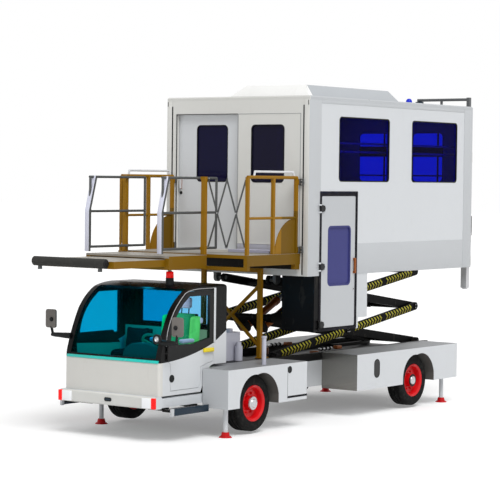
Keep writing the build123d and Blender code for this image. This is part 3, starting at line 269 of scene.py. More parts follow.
DUST = rgb(150, 142, 128)
WHITE = rgb(210, 213, 216)
WARM_WHITE = rgb(216, 216, 212)
GREY_WHITE = rgb(190, 193, 196)
OCHRE = rgb(146, 104, 10)
# Painted shade: a darker copy of the ochre paint, for the deck's and bridge's beams and the carriage below
# its floor
OCHRE_IN_SHADE = rgb(130, 94, 10)
# Painted shade: a still darker copy of the ochre, for the deck's side faces and the rails' lower rear parts
OCHRE_IN_DEEP_SHADE = rgb(112, 82, 6)
BROWN = rgb(140, 74, 20)
BLACK = rgb(9, 9, 10)
SOFT_BLACK = rgb(26, 27, 28)
FLOOR_BEIGE = rgb(160, 155, 146)
LILAC = rgb(176, 176, 196)

white_paint = paint("white_paint", WHITE, wear=0.06)
panel_paint = paint("panel_paint", GREY_WHITE, wear=0.06)
warm_white = paint("warm_white", WARM_WHITE, wear=0.06)
ochre_paint = paint("ochre_paint", OCHRE, 0.45, 0.0, 0.22, shine=0.15)
black_paint = paint("black_paint", BLACK, 0.5, 0.0, 0.3, shine=0.08)
gloss_black = paint("gloss_black", rgb(8, 8, 9), 0.22, 0.0, 0.05, 0.0002, 0.14)
red_paint = paint("red_paint", rgb(206, 12, 20), 0.28, 0.1, 0.12)
brown_paint = paint("brown_paint", BROWN, 0.4, 0.1, 0.25)
lilac_paint = paint("lilac_paint", rgb(192, 193, 206), 0.3, 0.2, 0.6)
hazard_yellow = paint("hazard_yellow", rgb(222, 214, 36), 0.45, 0.1, 0.15)
hazard_shade = paint("hazard_shade", rgb(170, 158, 24), 0.5, 0.0, 0.2)
turquoise = paint("turquoise", rgb(0, 196, 184), 0.2, 0.6, 0.08)
handle_yellow = paint("handle_yellow", rgb(232, 208, 20), 0.35, 0.3, 0.1)
navy_paint = paint("navy_paint", rgb(12, 36, 52), 0.4, 0.1)
# Grey of the seams round the front wall's fixed leaf; along the leaf's edge between the doors it is also
# painted shade
seam_and_shade_paint = paint("seam_and_shade_paint", rgb(148, 150, 152), 0.5, 0.0, 0.1)
guard_paint = paint("guard_paint", rgb(214, 216, 232), 0.35, 0.3, 0.06)
grey_steel = steel("grey_steel", rgb(88, 90, 90), 0.45, metal=0.4)
mast_steel = steel("mast_steel", rgb(206, 206, 208), 0.35, (1, 1, 0.05), 0.25)
bright_steel = steel("bright_steel", rgb(205, 206, 208), 0.22)
tread_steel = steel("tread_steel", rgb(92, 94, 96), 0.55, metal=0.3)
mirror_face = steel("mirror_face", rgb(225, 228, 232), 0.03)
tyre_rubber = rubber("tyre_rubber", rgb(17, 17, 17))
roller_rubber = rubber("roller_rubber", rgb(52, 52, 50), 0.65)
seal_rubber = rubber("seal_rubber", rgb(15, 14, 22), 0.6)
slate_seal = rubber("slate_seal", rgb(64, 66, 120), 0.5)
dark_plastic = plastic("dark_plastic", SOFT_BLACK)
grey_plastic = plastic("grey_plastic", rgb(116, 112, 108))
slot_plastic = plastic("slot_plastic", rgb(62, 62, 62), 0.6)
# The cab's inner plastics and cloths glow a little: painted light standing in for the light that falls into
# the cab; none of them is a lamp
dash_plastic = plastic("dash_plastic", rgb(76, 124, 98), 0.6, 0.25)
wheel_plastic = plastic("wheel_plastic", rgb(96, 190, 130), 0.5, 0.25)
pale_plastic = plastic("pale_plastic", rgb(204, 204, 224), 0.45, 0.1)
lining = plastic("lining", rgb(132, 166, 134), 0.7, 0.45)
seat_cloth = plastic("seat_cloth", rgb(38, 164, 108), 0.8, 0.14)
pale_cloth = plastic("pale_cloth", rgb(190, 186, 206), 0.8, 0.1)
wing_cloth = plastic("wing_cloth", rgb(104, 228, 112), 0.8, 0.2)
dark_cloth = plastic("dark_cloth", rgb(24, 30, 34), 0.85)
# Painted light: a blue pane that glows, set inside the rear windows so that they look lit from within
glowing_pane = plastic("glowing_pane", rgb(0, 150, 240), 0.15, 0.9)
navy_glass = glass("navy_glass", (0.08, 0.14, 0.82, 1.0), rgb(34, 30, 72), 0.12, lambda x, y, z: x > -0.1)
leaf_glass = glass("leaf_glass", (0.03, 0.04, 0.30, 1.0), rgb(14, 13, 52), 0.9)
slate_glass = glass("slate_glass", (0.09, 0.09, 0.35, 1.0), rgb(66, 68, 130), 0.92)
screen_glass = glass("screen_glass", (0.03, 0.62, 0.80, 1.0), rgb(0, 78, 74), 0.06, None,
                     (lambda x, y, z: x < 1.5, (0.48, 0.80, 0.96, 1.0)))
side_glass = glass("side_glass", (0.85, 0.93, 0.98, 1.0), rgb(20, 40, 50), 0.03)
red_lens = lens("red_lens", rgb(235, 8, 6), 0.35)
blue_lens = lens("blue_lens", rgb(12, 40, 190), 0.2)
amber_lens = lens("amber_lens", rgb(235, 130, 16), 0.1)
lamp_glass = lens("lamp_glass", rgb(236, 238, 240), 0.1)


# Nodes in more than one colour

def arch_lining(end):
    """A test for the inside of the wheel arches at one end."""
    low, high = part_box("rim_" + end + "_left")
    middle = (low + high) / 2
    wheel_x, wheel_z = middle.x - FRONT_X + 0.006, middle.z
    half, top, side = 0.446, wheel_z + 0.421, HALF_W - 0.004
    return lambda x, y, z: ((x - wheel_x).size() < half) * (z < top) * (y.size() < side)


def bare_end(x, y, z):
    """The rear boxes' unpainted front ends."""
    return x.within(-1.2848, -1.2832)


# Painted shade: the deck frame's inner faces, in its open recess under the floor, are painted near black
def deck_inside_shade(x, y, z):
    return (x < 1.150) * (y.size() < DECK_SIDE - 0.065) * z.within(2.150, 2.3375)


def roof_seams(x, y, z):
    return z.within(4.540, 4.560) * (x.within(-1.498, -1.482) + x.within(-2.958, -2.942))


front_white = patched("front_white", WHITE, (lambda x, y, z: x > 2.58, rgb(217, 216, 211)))
bumper_paint = patched("bumper_paint", rgb(208, 212, 216),
                       (lambda x, y, z: x > BUMPER_FRONT - 0.03, WARM_WHITE))
jack_paint = patched("jack_paint", WHITE, (lambda x, y, z: z < 0.071, rgb(196, 10, 18)))
door_paint = patched("door_paint", WHITE, (lambda x, y, z: z > belt_height(x), rgb(8, 8, 9)))
well_paint = patched("well_paint", BLACK, (lambda x, y, z: (y > HALF_W - 0.05) * (x < -1.19), WHITE),
                     shine=0.1)
box_paint = patched("box_paint", WHITE, (lambda x, y, z: z > 0.9062, rgb(138, 140, 143)),
                    *[(arch_lining(end), rgb(98, 96, 93)) for end in ENDS],
                    # Painted shade: the front boxes' front faces take a darker white
                    (lambda x, y, z: x > BOX_FRONT - 0.002, rgb(192, 195, 198)),
                    (bare_end, rgb(156, 154, 149)), metal=lambda x, y, z: bare_end(x, y, z) * 0.8)
# The deck: shaded ochre all over, darker painted shade on its side faces, near black painted shade inside its
# recess, then a beige floor and a lilac step on top
deck_paint = patched("deck_paint", OCHRE_IN_SHADE, (lambda x, y, z: y.size() > DECK_SIDE - 0.003, OCHRE_IN_DEEP_SHADE),
                     (deck_inside_shade, rgb(20, 16, 9)), (lambda x, y, z: z > 2.3835, FLOOR_BEIGE),
                     (lambda x, y, z: z > 2.395, LILAC), shine=0.15)
# The bridge in the shaded ochre, which is painted shade, with its beige floor strip
bridge_paint = patched("bridge_paint", OCHRE_IN_SHADE, (lambda x, y, z: z.within(2.3265, 2.36), FLOOR_BEIGE),
                       shine=0.15)
# The carriage: ochre above its floor, the shaded ochre below it as painted shade, and beige on the floor
carriage_paint = patched("carriage_paint", OCHRE, (lambda x, y, z: z < 2.380, OCHRE_IN_SHADE),
                         (lambda x, y, z: z.within(2.370, 2.374), FLOOR_BEIGE),
                         (lambda x, y, z: (x > CARRIAGE_FRONT - 0.003) * z.within(2.345, 2.374), FLOOR_BEIGE),
                         shine=0.15)
# The rails: ochre, white on the top loops, and the deep shaded ochre on their lower rear parts as painted
# shade
rail_paint = patched("rail_paint", OCHRE, (lambda x, y, z: z > 3.447, rgb(222, 223, 226)),
                     (lambda x, y, z: (x < 0.42) * (z < 2.97), OCHRE_IN_DEEP_SHADE), shine=0.15)
roof_lamp_paint = patched("roof_lamp_paint", rgb(96, 98, 100), (lambda x, y, z: x > -4.2, rgb(10, 30, 150)))
leaf_paint = patched("leaf_paint", GREY_WHITE, (lambda x, y, z: y > HALF_W + 0.002, SOFT_BLACK),
                     (lambda x, y, z: (y > HALF_W + 0.002) * (x < -1.0), BROWN))
roof_paint = patched("roof_paint", GREY_WHITE, (roof_seams, rgb(146, 148, 150)),
                     (lambda x, y, z: x > -0.020, WARM_WHITE))
fairing_paint = patched("fairing_paint", rgb(180, 184, 188), (lambda x, y, z: x > -0.112, rgb(248, 248, 246)))
frame_paint = patched("frame_paint", BLACK,
                      (lambda x, y, z: x.within(-1.28, -0.03) * z.within(0.40, 0.80), WHITE), shine=0.1)

FINISHES = {
    "frame_black": black_paint, "white": white_paint, "black_gloss": gloss_black, "lamp_red": red_lens,
    "glass_teal": screen_glass, "glass_blue": navy_glass, "black_plastic": dark_plastic, "seat": seat_cloth,
    "yellow": ochre_paint, "tyre": tyre_rubber, "rim_red": red_paint, "cylinder": brown_paint,
    "steel": bright_steel, "grey": grey_steel, "rubber": roller_rubber,
}
OWN_FINISH = {
    "cab_pane_left": side_glass, "cab_pane_right": side_glass, "well_door_pane": slate_glass,
    "front_leaf_pane": leaf_glass, "tail_mast": mast_steel, "tail_platform": mast_steel,
    "cab_door_left": door_paint, "cab_door_right": door_paint, "door_well": well_paint,
    "side_boxes": box_paint, "deck_frame": deck_paint, "bridge": bridge_paint, "carriage": carriage_paint,
    "deck_rails": rail_paint, "roof_lamps": roof_lamp_paint, "chassis_frame": frame_paint,
    "cab_shell": front_white, "bumper": bumper_paint, "cabin_ends": warm_white, "cabin_roof": roof_paint,
    "well_door": leaf_paint, "power_pack": lilac_paint,
}
OWN_FINISH.update({"jack_" + end + "_" + side: jack_paint for end in ENDS for side, sign in SIDES})


def paint_nodes():
    slots = {p["node"]: p["material_slot"] for p in frame["record"]["subparts"]}
    for name, node in NODES.items():
        node.data.materials.clear()
        node.data.materials.append(OWN_FINISH.get(name, FINISHES[slots[name]]))


paint_nodes()


# Forms: a mesh under construction, built from simple operators

def at(x, y, z):
    """A place counted from the cabin's front face along X."""
    return Vector((FRONT_X + x, y, z))


def on_side(y, outline):
    """An outline of (x, z) pairs, stood up at one y."""
    return [at(x, y, z) for x, z in outline]


def on_end(x, outline, sign=1):
    """An outline of (y, z) pairs, stood up at one x."""
    return [at(x, sign * y, z) for y, z in outline]


def rounded(u0, u1, v0, v1, radius, steps=6):
    """Outline of a rectangle with round corners, as (u, v) pairs."""
    corners = ((u1 - radius, v1 - radius, 0), (u0 + radius, v1 - radius, 90),
               (u0 + radius, v0 + radius, 180), (u1 - radius, v0 + radius, 270))
    points = []
    for u, v, start in corners:
        for i in range(steps + 1):
            turn = math.radians(start + 90 * i / steps)
            points.append((u + radius * math.cos(turn), v + radius * math.sin(turn)))
    return points


def grown(pane, by, radius):
    """Outline of a pane (u0, u1, v0, v1) with round corners, larger all round, or smaller below zero."""
    u0, u1, v0, v1 = pane
    return rounded(u0 - by, u1 + by, v0 - by, v1 + by, radius)


def eased(points, rounds=2):
    """The same run of points with its corners cut, so that a bent tube looks bent."""
    run = [Vector(p) for p in points]
    for _ in range(rounds):
        cut = [run[0]]
        for a, b in zip(run, run[1:]):
            cut += [a.lerp(b, 0.25), a.lerp(b, 0.75)]
        run = cut + [run[-1]]
    return run


def circle(count, radius, start=0.0):
    """Offsets (x, z) of places spaced evenly on a circle."""
    turns = [2 * math.pi * (i + start) / count for i in range(count)]
    return [Vector((radius * math.cos(turn), 0, radius * math.sin(turn))) for turn in turns]


def link(name, data):
    made = bpy.data.objects.new(name, data)
    bpy.context.scene.collection.objects.link(made)
    return made


class Form:
    """A piece under construction; each call adds one shape in the current material."""

    def __init__(self, *materials):
        self.bm = bmesh.new()
        self.materials = list(materials)
        self.current = 0

    def use(self, number):
        self.current = number
        return self

    def claim(self, before):
        fresh = [face for face in self.bm.faces if face not in before]
        for face in fresh:
            face.material_index = self.current
        return fresh

    def soften(self, edges, offset, steps=2):
        bmesh.ops.bevel(self.bm, geom=list(edges), offset=offset, segments=steps, profile=0.5,
                        affect="EDGES", material=-1, offset_type="OFFSET")

    def thicken(self, faces, depth):
        made = bmesh.ops.extrude_face_region(self.bm, geom=faces)
        moved = [g for g in made["geom"] if isinstance(g, bmesh.types.BMVert)]
        bmesh.ops.translate(self.bm, verts=moved, vec=Vector(depth))

    def block(self, low, high, edge=0.0, steps=2):
        before = set(self.bm.faces)
        low, high = Vector(low), Vector(high)
        size = Matrix.Diagonal((high.x - low.x, high.y - low.y, high.z - low.z, 1.0))
        made = bmesh.ops.create_cube(self.bm, size=1.0, matrix=Matrix.Translation((low + high) / 2) @ size)
        if edge:
            self.soften({e for v in made["verts"] for e in v.link_edges}, edge, steps)
        self.claim(before)

    def slab(self, x0, x1, y0, y1, z0, z1, edge=0.0, steps=2, sign=1):
        """A block placed as at() does; a sign of -1 puts it on the right side."""
        y0, y1 = sorted((sign * y0, sign * y1))
        self.block(at(x0, y0, z0), at(x1, y1, z1), edge, steps)

    def rod(self, start, end, radius, sides=16, tip=None, edge=0.0):
        before = set(self.bm.faces)
        start, end = Vector(start), Vector(end)
        along = end - start
        place = Matrix.Translation((start + end) / 2) @ along.to_track_quat("Z", "Y").to_matrix().to_4x4()
        made = bmesh.ops.create_cone(self.bm, cap_ends=True, segments=sides, radius1=radius,
                                     radius2=radius if tip is None else tip, depth=along.length, matrix=place)
        if edge:
            rims = {e for v in made["verts"] for e in v.link_edges
                    if any(len(face.verts) == sides for face in e.link_faces)}
            self.soften(rims, edge)
        self.claim(before)

    def lathe(self, outline, origin, direction, steps=40):
        """Turn (height, radius) pairs about a line."""
        before = set(self.bm.faces)
        old = set(self.bm.verts)
        axis = Vector(direction).normalized()
        place = Matrix.Translation(Vector(origin)) @ axis.to_track_quat("Z", "Y").to_matrix().to_4x4()
        verts = [self.bm.verts.new(place @ Vector((radius, 0.0, height))) for height, radius in outline]
        edges = [self.bm.edges.new(pair) for pair in zip(verts, verts[1:])]
        bmesh.ops.spin(self.bm, geom=verts + edges, cent=Vector(origin), axis=axis, dvec=(0, 0, 0),
                       angle=2 * math.pi, steps=steps, use_merge=True)
        fresh = [v for v in self.bm.verts if v not in old]
        bmesh.ops.remove_doubles(self.bm, verts=fresh, dist=1e-5)
        return self.claim(before)

    def plate(self, points, depth, edge=0.0):
        """A flat outline given thickness along a vector."""
        before = set(self.bm.faces)
        self.thicken([self.bm.faces.new([self.bm.verts.new(Vector(p)) for p in points])], depth)
        if edge:
            fresh = [f for f in self.bm.faces if f not in before]
            self.soften({e for f in fresh for e in f.edges}, edge)
        self.claim(before)

    def ring(self, outer, inner, depth):
        """A flat frame between two outlines of as many points, given thickness along a vector."""
        before = set(self.bm.faces)
        edges = []
        for outline in (outer, inner):
            verts = [self.bm.verts.new(Vector(p)) for p in outline]
            edges += [self.bm.edges.new((a, b)) for a, b in zip(verts, verts[1:] + verts[:1])]
        self.thicken(bmesh.ops.bridge_loops(self.bm, edges=edges)["faces"], depth)
        self.claim(before)

    def tube(self, points, radius, sides=12):
        """A round bar along a run of points."""
        before = set(self.bm.faces)
        run = [Vector(p) for p in points]
        loops = []
        for i, point in enumerate(run):
            ahead = run[min(i + 1, len(run) - 1)] - run[max(i - 1, 0)]
            place = Matrix.Translation(point) @ ahead.to_track_quat("Z", "X").to_matrix().to_4x4()
            end = i in (0, len(run) - 1)
            made = bmesh.ops.create_circle(self.bm, cap_ends=end, segments=sides, radius=radius, matrix=place)
            loops.append(list({e for v in made["verts"] for e in v.link_edges}))
        for one, two in zip(loops, loops[1:]):
            bmesh.ops.bridge_loops(self.bm, edges=one + two)
        self.claim(before)

    def piece(self, name, body, sharp=32.0):
        bmesh.ops.recalc_face_normals(self.bm, faces=self.bm.faces)
        mesh = bpy.data.meshes.new(name)
        self.bm.to_mesh(mesh)
        self.bm.free()
        for material in self.materials:
            mesh.materials.append(material)
        mesh.shade_smooth()
        mesh.set_sharp_from_angle(angle=math.radians(sharp))
        made = link(name, mesh)
        if body:
            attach(made, body)
        return made


# Wheels: tyres with a blocked tread, nuts and caps

TYRE_SHOULDER = [(0.103, 0.232), (0.113, 0.238), (0.121, 0.256), (0.125, 0.290), (0.1245, 0.312),
                 (0.1225, 0.320), (0.1235, 0.326), (0.119, 0.346), (0.109, 0.366), (0.100, 0.3715)]
TYRE_RIBS = [(0.064, 0.373), (0.061, 0.362), (0.053, 0.362), (0.050, 0.3735), (0.013, 0.374), (0.010, 0.363)]
CROWN_RADIUS = 0.369
NUTS, NUT_CIRCLE = 8, 0.135


def add_tyre(tag):
    low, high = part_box("tyre_" + tag)
    centre = (low + high) / 2
    half = TYRE_SHOULDER + TYRE_RIBS
    form = Form(tyre_rubber)
    faces = form.lathe(half + [(-y, r) for y, r in reversed(half)] + half[:1], centre, (0, 1, 0), 60)
    crown = [f for f in faces
             if all(math.hypot(v.co.x - centre.x, v.co.z - centre.z) > CROWN_RADIUS for v in f.verts)]
    bmesh.ops.inset_individual(form.bm, faces=crown, thickness=0.003, depth=0.0035)
    tyre = form.piece("tyre_tread_" + tag, "wheel_" + tag)
    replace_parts(tyre, "tyre_" + tag)


def add_hub(tag, front, sign):
    low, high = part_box("rim_" + tag)
    centre = (low + high) / 2
    out = Vector((0, sign, 0))
    form = Form(bright_steel, dark_plastic, red_paint)
    form.use(2)
    for offset in circle(NUTS, NUT_CIRCLE, 0.5):
        seat = centre + offset
        form.rod(seat + out * 0.022, seat + out * 0.036, 0.021, 20, edge=0.002)
        form.rod(seat + out * 0.034, seat + out * 0.052, 0.016, 6, edge=0.002)
        form.rod(seat + out * 0.050, seat + out * 0.060, 0.009, 12)
    if front:
        form.use(0).lathe([(0.095, 0.094), (0.112, 0.088), (0.118, 0.060), (0.128, 0.052), (0.131, 0.0)],
                          centre, out)
    else:
        form.use(1).lathe([(0.108, 0.094), (0.114, 0.090), (0.116, 0.070), (0.112, 0.068)], centre, out)
        form.use(0).lathe([(0.110, 0.066), (0.121, 0.060), (0.127, 0.030), (0.128, 0.0)], centre, out)
    valve = centre + Vector((0.176, 0, 0.0))
    form.use(1).rod(valve + out * 0.02, valve + out * 0.07 + Vector((-0.02, 0, 0)), 0.005, 10)
    form.piece("hub_" + tag, "wheel_" + tag)


for side, sign in SIDES:
    for end in ENDS:
        add_tyre(end + "_" + side)
        add_hub(end + "_" + side, end == "front", sign)


# Scissor: hazard bars on the outer arms' flanks and caps on the pins

ARM_SPAN, ARM_RISE = 3.8, 0.5425
ARM_FRONT, ARM_FOOT = -0.28, 0.90
ARM_FLANK, ARM_WALL = 0.475, 0.045
BAR_PITCH, BAR_WIDTH, BAR_HALF, BAR_LEAN, BAR_DEPTH = 0.076, 0.029, 0.052, 0.048, 0.0012
BAR_GROUPS = ((0.20, 0.98), (1.06, 1.86), (2.10, 2.88), (2.96, 3.72))


def add_hazard_bars(body, start_z):
    slope = Vector((-ARM_SPAN, 0, ARM_RISE)).normalized()
    across = Vector((ARM_RISE, 0, ARM_SPAN)).normalized()
    form = Form(hazard_yellow, hazard_shade)
    places = [(sign, face_y, low + i * BAR_PITCH) for sign in (1, -1)
              for face_y in (ARM_FLANK, ARM_FLANK - ARM_WALL - BAR_DEPTH)
              for low, high in BAR_GROUPS for i in range(int((high - low) / BAR_PITCH))]
    for sign, face_y, along in places:
        foot = at(ARM_FRONT, sign * face_y, start_z)
        for number, end in enumerate((BAR_HALF, -BAR_HALF)):
            top = along + BAR_LEAN
            corners = [(top, 0.0), (top + BAR_WIDTH, 0.0), (along + BAR_WIDTH, end), (along, end)]
            outline = [foot + slope * a + across * b for a, b in corners]
            form.use(number).plate(outline, (0, sign * BAR_DEPTH, 0))
    form.piece("hazard_bars_" + body, body)


add_hazard_bars("scissor_lower_a", ARM_FOOT)
add_hazard_bars("scissor_upper_a", ARM_FOOT + ARM_RISE)


def add_pin_caps():
    rear, middle = ARM_FRONT - ARM_SPAN, ARM_FRONT - ARM_SPAN / 2
    pins = (("scissor_lower_a", rear, 1, 0.0), ("scissor_lower_a", middle, 0.5, 0.0),
            ("scissor_upper_b", middle, 1.5, 0.004))
    for number, (body, x, level, proud) in enumerate(pins):
        form = Form(black_paint, bright_steel)
        for sign in (1, -1):
            seat = at(x, sign * (ARM_FLANK + proud), ARM_FOOT + level * ARM_RISE)
            out = Vector((0, sign, 0))
            form.use(0).lathe([(0.0, 0.050), (0.010, 0.050), (0.013, 0.046), (0.013, 0.0)], seat, out, 28)
            for offset in circle(4, 0.032, 0.5):
                form.use(1).rod(seat + offset + out * 0.012, seat + offset + out * 0.019, 0.008, 6)
        form.piece("pin_cap_%d" % number, body)


add_pin_caps()


# Cab: screen foot, door trim, handles, mirrors, lamp, beacon, dash and wheel

CAB_SIDE = 0.803


def add_screen_foot():
    form = Form(turquoise)
    outline = [(2.652, 1.024), (2.659, 1.024), (2.659, 1.032), (2.650, 1.058), (2.636, 1.062), (2.632, 1.052)]
    form.plate(on_side(-0.774, outline), (0, 1.559, 0), 0.002)
    form.piece("screen_foot", "chassis")


def add_cab_trim(side, sign):
    form = Form(white_paint, bright_steel)
    form.slab(1.482, 1.523, CAB_SIDE + 0.002, CAB_SIDE + 0.008, 1.235, 1.958, 0.002, sign=sign)
    top = [(1.50, 1.956), (2.065, 1.956), (2.240, 1.822), (2.395, 1.648), (2.497, 1.430), (2.520, 1.240)]
    form.use(1).tube(eased(on_side(sign * (CAB_SIDE + 0.002), top)), 0.0045, 8)
    form.piece("door_frame_trim_" + side, "chassis")
    handle = Form(handle_yellow, dark_plastic)
    handle.slab(1.538, 1.752, CAB_SIDE, CAB_SIDE + 0.034, 1.114, 1.170, 0.012, 3, sign)
    handle.use(1).lathe([(0.0, 0.050), (0.006, 0.048), (0.009, 0.041), (0.004, 0.037), (0.004, 0.0)],
                        at(2.396, sign * CAB_SIDE, 0.817), (0, sign, 0), 32)
    handle.piece("door_handle_" + side, "cab_door_" + side)


def add_mirror(side, sign):
    form = Form(grey_plastic, dark_plastic, mirror_face)
    form.plate(on_end(2.645, rounded(0.990, 1.172, 1.385, 1.633, 0.035), sign), (-0.030, 0, 0), 0.007)
    form.use(2).plate(on_end(2.6145, rounded(1.000, 1.162, 1.395, 1.623, 0.028), sign), (-0.002, 0, 0))
    form.use(1).lathe([(0.0, 0.030), (0.010, 0.030), (0.022, 0.022), (0.030, 0.0)],
                      at(2.644, sign * 1.060, 1.500), (1, 0, 0), 24)
    elbow = at(2.622, sign * 1.055, 1.297)
    form.rod(at(2.566, sign * 0.785, 1.290), elbow, 0.042, 20, 0.028, 0.004)
    form.lathe([(-0.026, 0.0), (-0.020, 0.022), (0.0, 0.031), (0.020, 0.022), (0.026, 0.0)],
               elbow, (0, 0, 1), 20)
    form.rod(elbow, at(2.632, sign * 1.075, 1.405), 0.018, 14)
    form.piece("mirror_" + side, "chassis")


def add_dash():
    """Dash with its hood and vents, steering wheel and side lamp; the mirrors are pieces of their own. The
    dash and the wheel glow a little: painted light.
    """
    form = Form(dash_plastic, dark_plastic, lamp_glass, bright_steel, wheel_plastic)
    profile = [(2.606, 0.66), (2.335, 0.66), (2.325, 0.90), (2.385, 1.020), (2.45, 1.046), (2.570, 1.040),
               (2.606, 1.005)]
    form.plate(on_side(-0.738, profile), (0, 1.476, 0), 0.012)
    hood = [(0.010, 1.030), (0.030, 1.130), (0.080, 1.195), (0.170, 1.240), (0.300, 1.258), (0.420, 1.252),
            (0.530, 1.215), (0.600, 1.150), (0.640, 1.080), (0.655, 1.030)]
    form.plate(on_end(2.330, hood), (0.130, 0, 0), 0.018)
    for y in (-0.55, -0.30, 0.02, 0.66):
        form.use(1).slab(2.430, 2.475, y - 0.07, y + 0.07, 1.040, 1.052, 0.004)
    hub = at(2.215, 0.380, 1.215)
    lean = Vector((-0.185, 0, 0.160)).normalized()
    across = Vector((0, 1, 0))
    up = lean.cross(across)

    def spoke(turn, reach):
        return hub + (across * math.cos(turn) + up * math.sin(turn)) * reach

    form.use(4).tube([spoke(2 * math.pi * i / 40, 0.190) for i in range(41)], 0.017, 12)
    for turn in (90, 210, 330):
        form.rod(hub - lean * 0.012, spoke(math.radians(turn), 0.188), 0.012, 10)
    form.use(1).lathe([(-0.03, 0.030), (-0.02, 0.048), (0.006, 0.050), (0.014, 0.040), (0.016, 0.0)],
                      hub, lean, 28)
    form.rod(at(2.430, 0.380, 1.000), hub - lean * 0.02, 0.028, 16)
    lamp = at(2.700, 0.800, 1.345)
    form.lathe([(-0.060, 0.0), (-0.055, 0.034), (-0.030, 0.058), (0.0, 0.064), (0.010, 0.064), (0.014, 0.056),
                (0.012, 0.038), (0.004, 0.036)], lamp, (1, 0, 0), 32)
    form.use(3).lathe([(0.006, 0.036), (-0.012, 0.024), (-0.014, 0.012)], lamp, (1, 0, 0), 32)
    form.use(2).lathe([(-0.014, 0.012), (-0.004, 0.010), (-0.002, 0.0)], lamp, (1, 0, 0), 20)
    stalk = [at(2.555, 0.782, 1.290), at(2.600, 0.795, 1.300), at(2.650, 0.800, 1.340)]
    form.use(1).tube(eased(stalk), 0.013, 12)
    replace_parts(form.piece("cab_dash", "chassis"), "cab_fittings")


def add_cab_lining():
    """Pale lining on the doors' insides and the rear wall, and a dark sill under the right window. The lining
    glows: painted light in the cab.
    """
    panel = [(1.600, 0.740), (2.440, 0.740), (2.490, 1.190), (1.600, 1.145)]
    sill = [(1.600, 1.150), (2.490, 1.195), (2.470, 1.330), (1.750, 1.330)]
    for side, sign in SIDES:
        form = Form(lining, dark_plastic)
        form.plate(on_side(sign * 0.744, panel), (0, sign * 0.006, 0), 0.002)
        if side == "right":
            form.use(1).plate(on_side(sign * 0.745, sill), (0, sign * 0.005, 0), 0.001)
        form.piece("door_lining_" + side, "cab_door_" + side)
    rear = Form(lining)
    rear.slab(1.500, 1.506, -0.735, 0.735, 0.740, 1.390, 0.002)
    rear.piece("rear_lining", "chassis")


def add_beacon():
    low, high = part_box("cab_beacon")
    centre = Vector(((low.x + high.x) / 2, (low.y + high.y) / 2, 0.0))
    base = [(1.985, 0.062), (1.996, 0.062), (2.002, 0.056), (2.040, 0.054), (2.080, 0.053), (2.082, 0.0)]
    dome = [(2.080, 0.050), (2.086, 0.053), (2.150, 0.051), (2.162, 0.046), (2.164, 0.0)]
    cap = [(2.162, 0.030), (2.172, 0.028), (2.178, 0.018), (2.178, 0.0)]
    form = Form(dark_plastic, red_lens, grey_plastic)
    for number, (outline, steps) in enumerate(((base, 36), (dome, 36), (cap, 24))):
        form.use(number).lathe(outline, centre, (0, 0, 1), steps)
    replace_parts(form.piece("cab_beacon_lamp", "chassis"), "cab_beacon")


def add_bumper_lamps():
    """Corner lamps, and the oval round the towing eye."""
    form = Form(red_lens, lamp_glass, dark_plastic, navy_paint)
    for sign in (1, -1):
        form.use(0).slab(2.728, 2.768, 0.764, 0.822, 0.450, 0.590, 0.006, 3, sign)
        form.use(1).slab(2.735, 2.765, 0.606, 0.760, 0.454, 0.586, 0.006, 3, sign)
    hole = on_end(2.7402, rounded(-0.028, 0.070, 0.506, 0.532, 0.012))
    form.use(2).ring(on_end(2.7402, rounded(-0.040, 0.082, 0.494, 0.544, 0.024)), hole, (0.006, 0, 0))
    form.use(3).plate(hole, (0.001, 0, 0))
    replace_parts(form.piece("bumper_lamps", "chassis"), "front_lamps")


add_screen_foot()
for side, sign in SIDES:
    add_cab_trim(side, sign)
add_dash()
for side, sign in SIDES:
    add_mirror(side, sign)
add_cab_lining()
add_beacon()
add_bumper_lamps()


# Cab seats: padded pieces blown up by cloth, over plain shells

SEATS = (("left", 0.38, 1.625), ("right", -0.38, 1.385))
PAD_GRID = 0.012
PAD_FRAMES = 20


def pad(name, cloth, low, high, edge, swell, lean=0.0):
    """One stuffed pad; lean moves its top back by that much for each metre of height."""
    form = Form(cloth)
    form.block(low, high, edge, 3)
    for vert in form.bm.verts:
        vert.co.x -= lean * (vert.co.z - low.z)
    piece = form.piece(name, None, 180.0)
    inflate(piece, swell)
    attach(piece, "chassis")


def freeze(piece):
    """The mesh that the piece's modifiers give, in place of them."""
    shown = piece.evaluated_get(bpy.context.evaluated_depsgraph_get())
    mesh = bpy.data.meshes.new_from_object(shown)
    piece.modifiers.clear()
    piece.data = mesh
    return mesh


def inflate(piece, swell):
    """Cloth under pressure for a few frames, with its movement capped, then applied."""
    remesh = piece.modifiers.new("remesh", "REMESH")
    remesh.mode = "VOXEL"
    remesh.voxel_size = PAD_GRID
    rest = [v.co.copy() for v in freeze(piece).vertices]
    cloth = piece.modifiers.new("cloth", "CLOTH")
    cloth.settings.use_pressure = True
    cloth.settings.uniform_pressure_force = 4.0
    cloth.settings.effector_weights.gravity = 0.0
    cloth.point_cache.frame_end = PAD_FRAMES
    for number in range(1, PAD_FRAMES + 1):
        bpy.context.scene.frame_set(number)
    blown = freeze(piece)
    for vert, home in zip(blown.vertices, rest):
        move = vert.co - home
        if move.length > swell:
            vert.co = home + move.normalized() * swell
    bpy.context.scene.frame_set(1)
    blown.shade_smooth()
    smooth = piece.modifiers.new("subdivision", "SUBSURF")
    smooth.levels = smooth.render_levels = 1


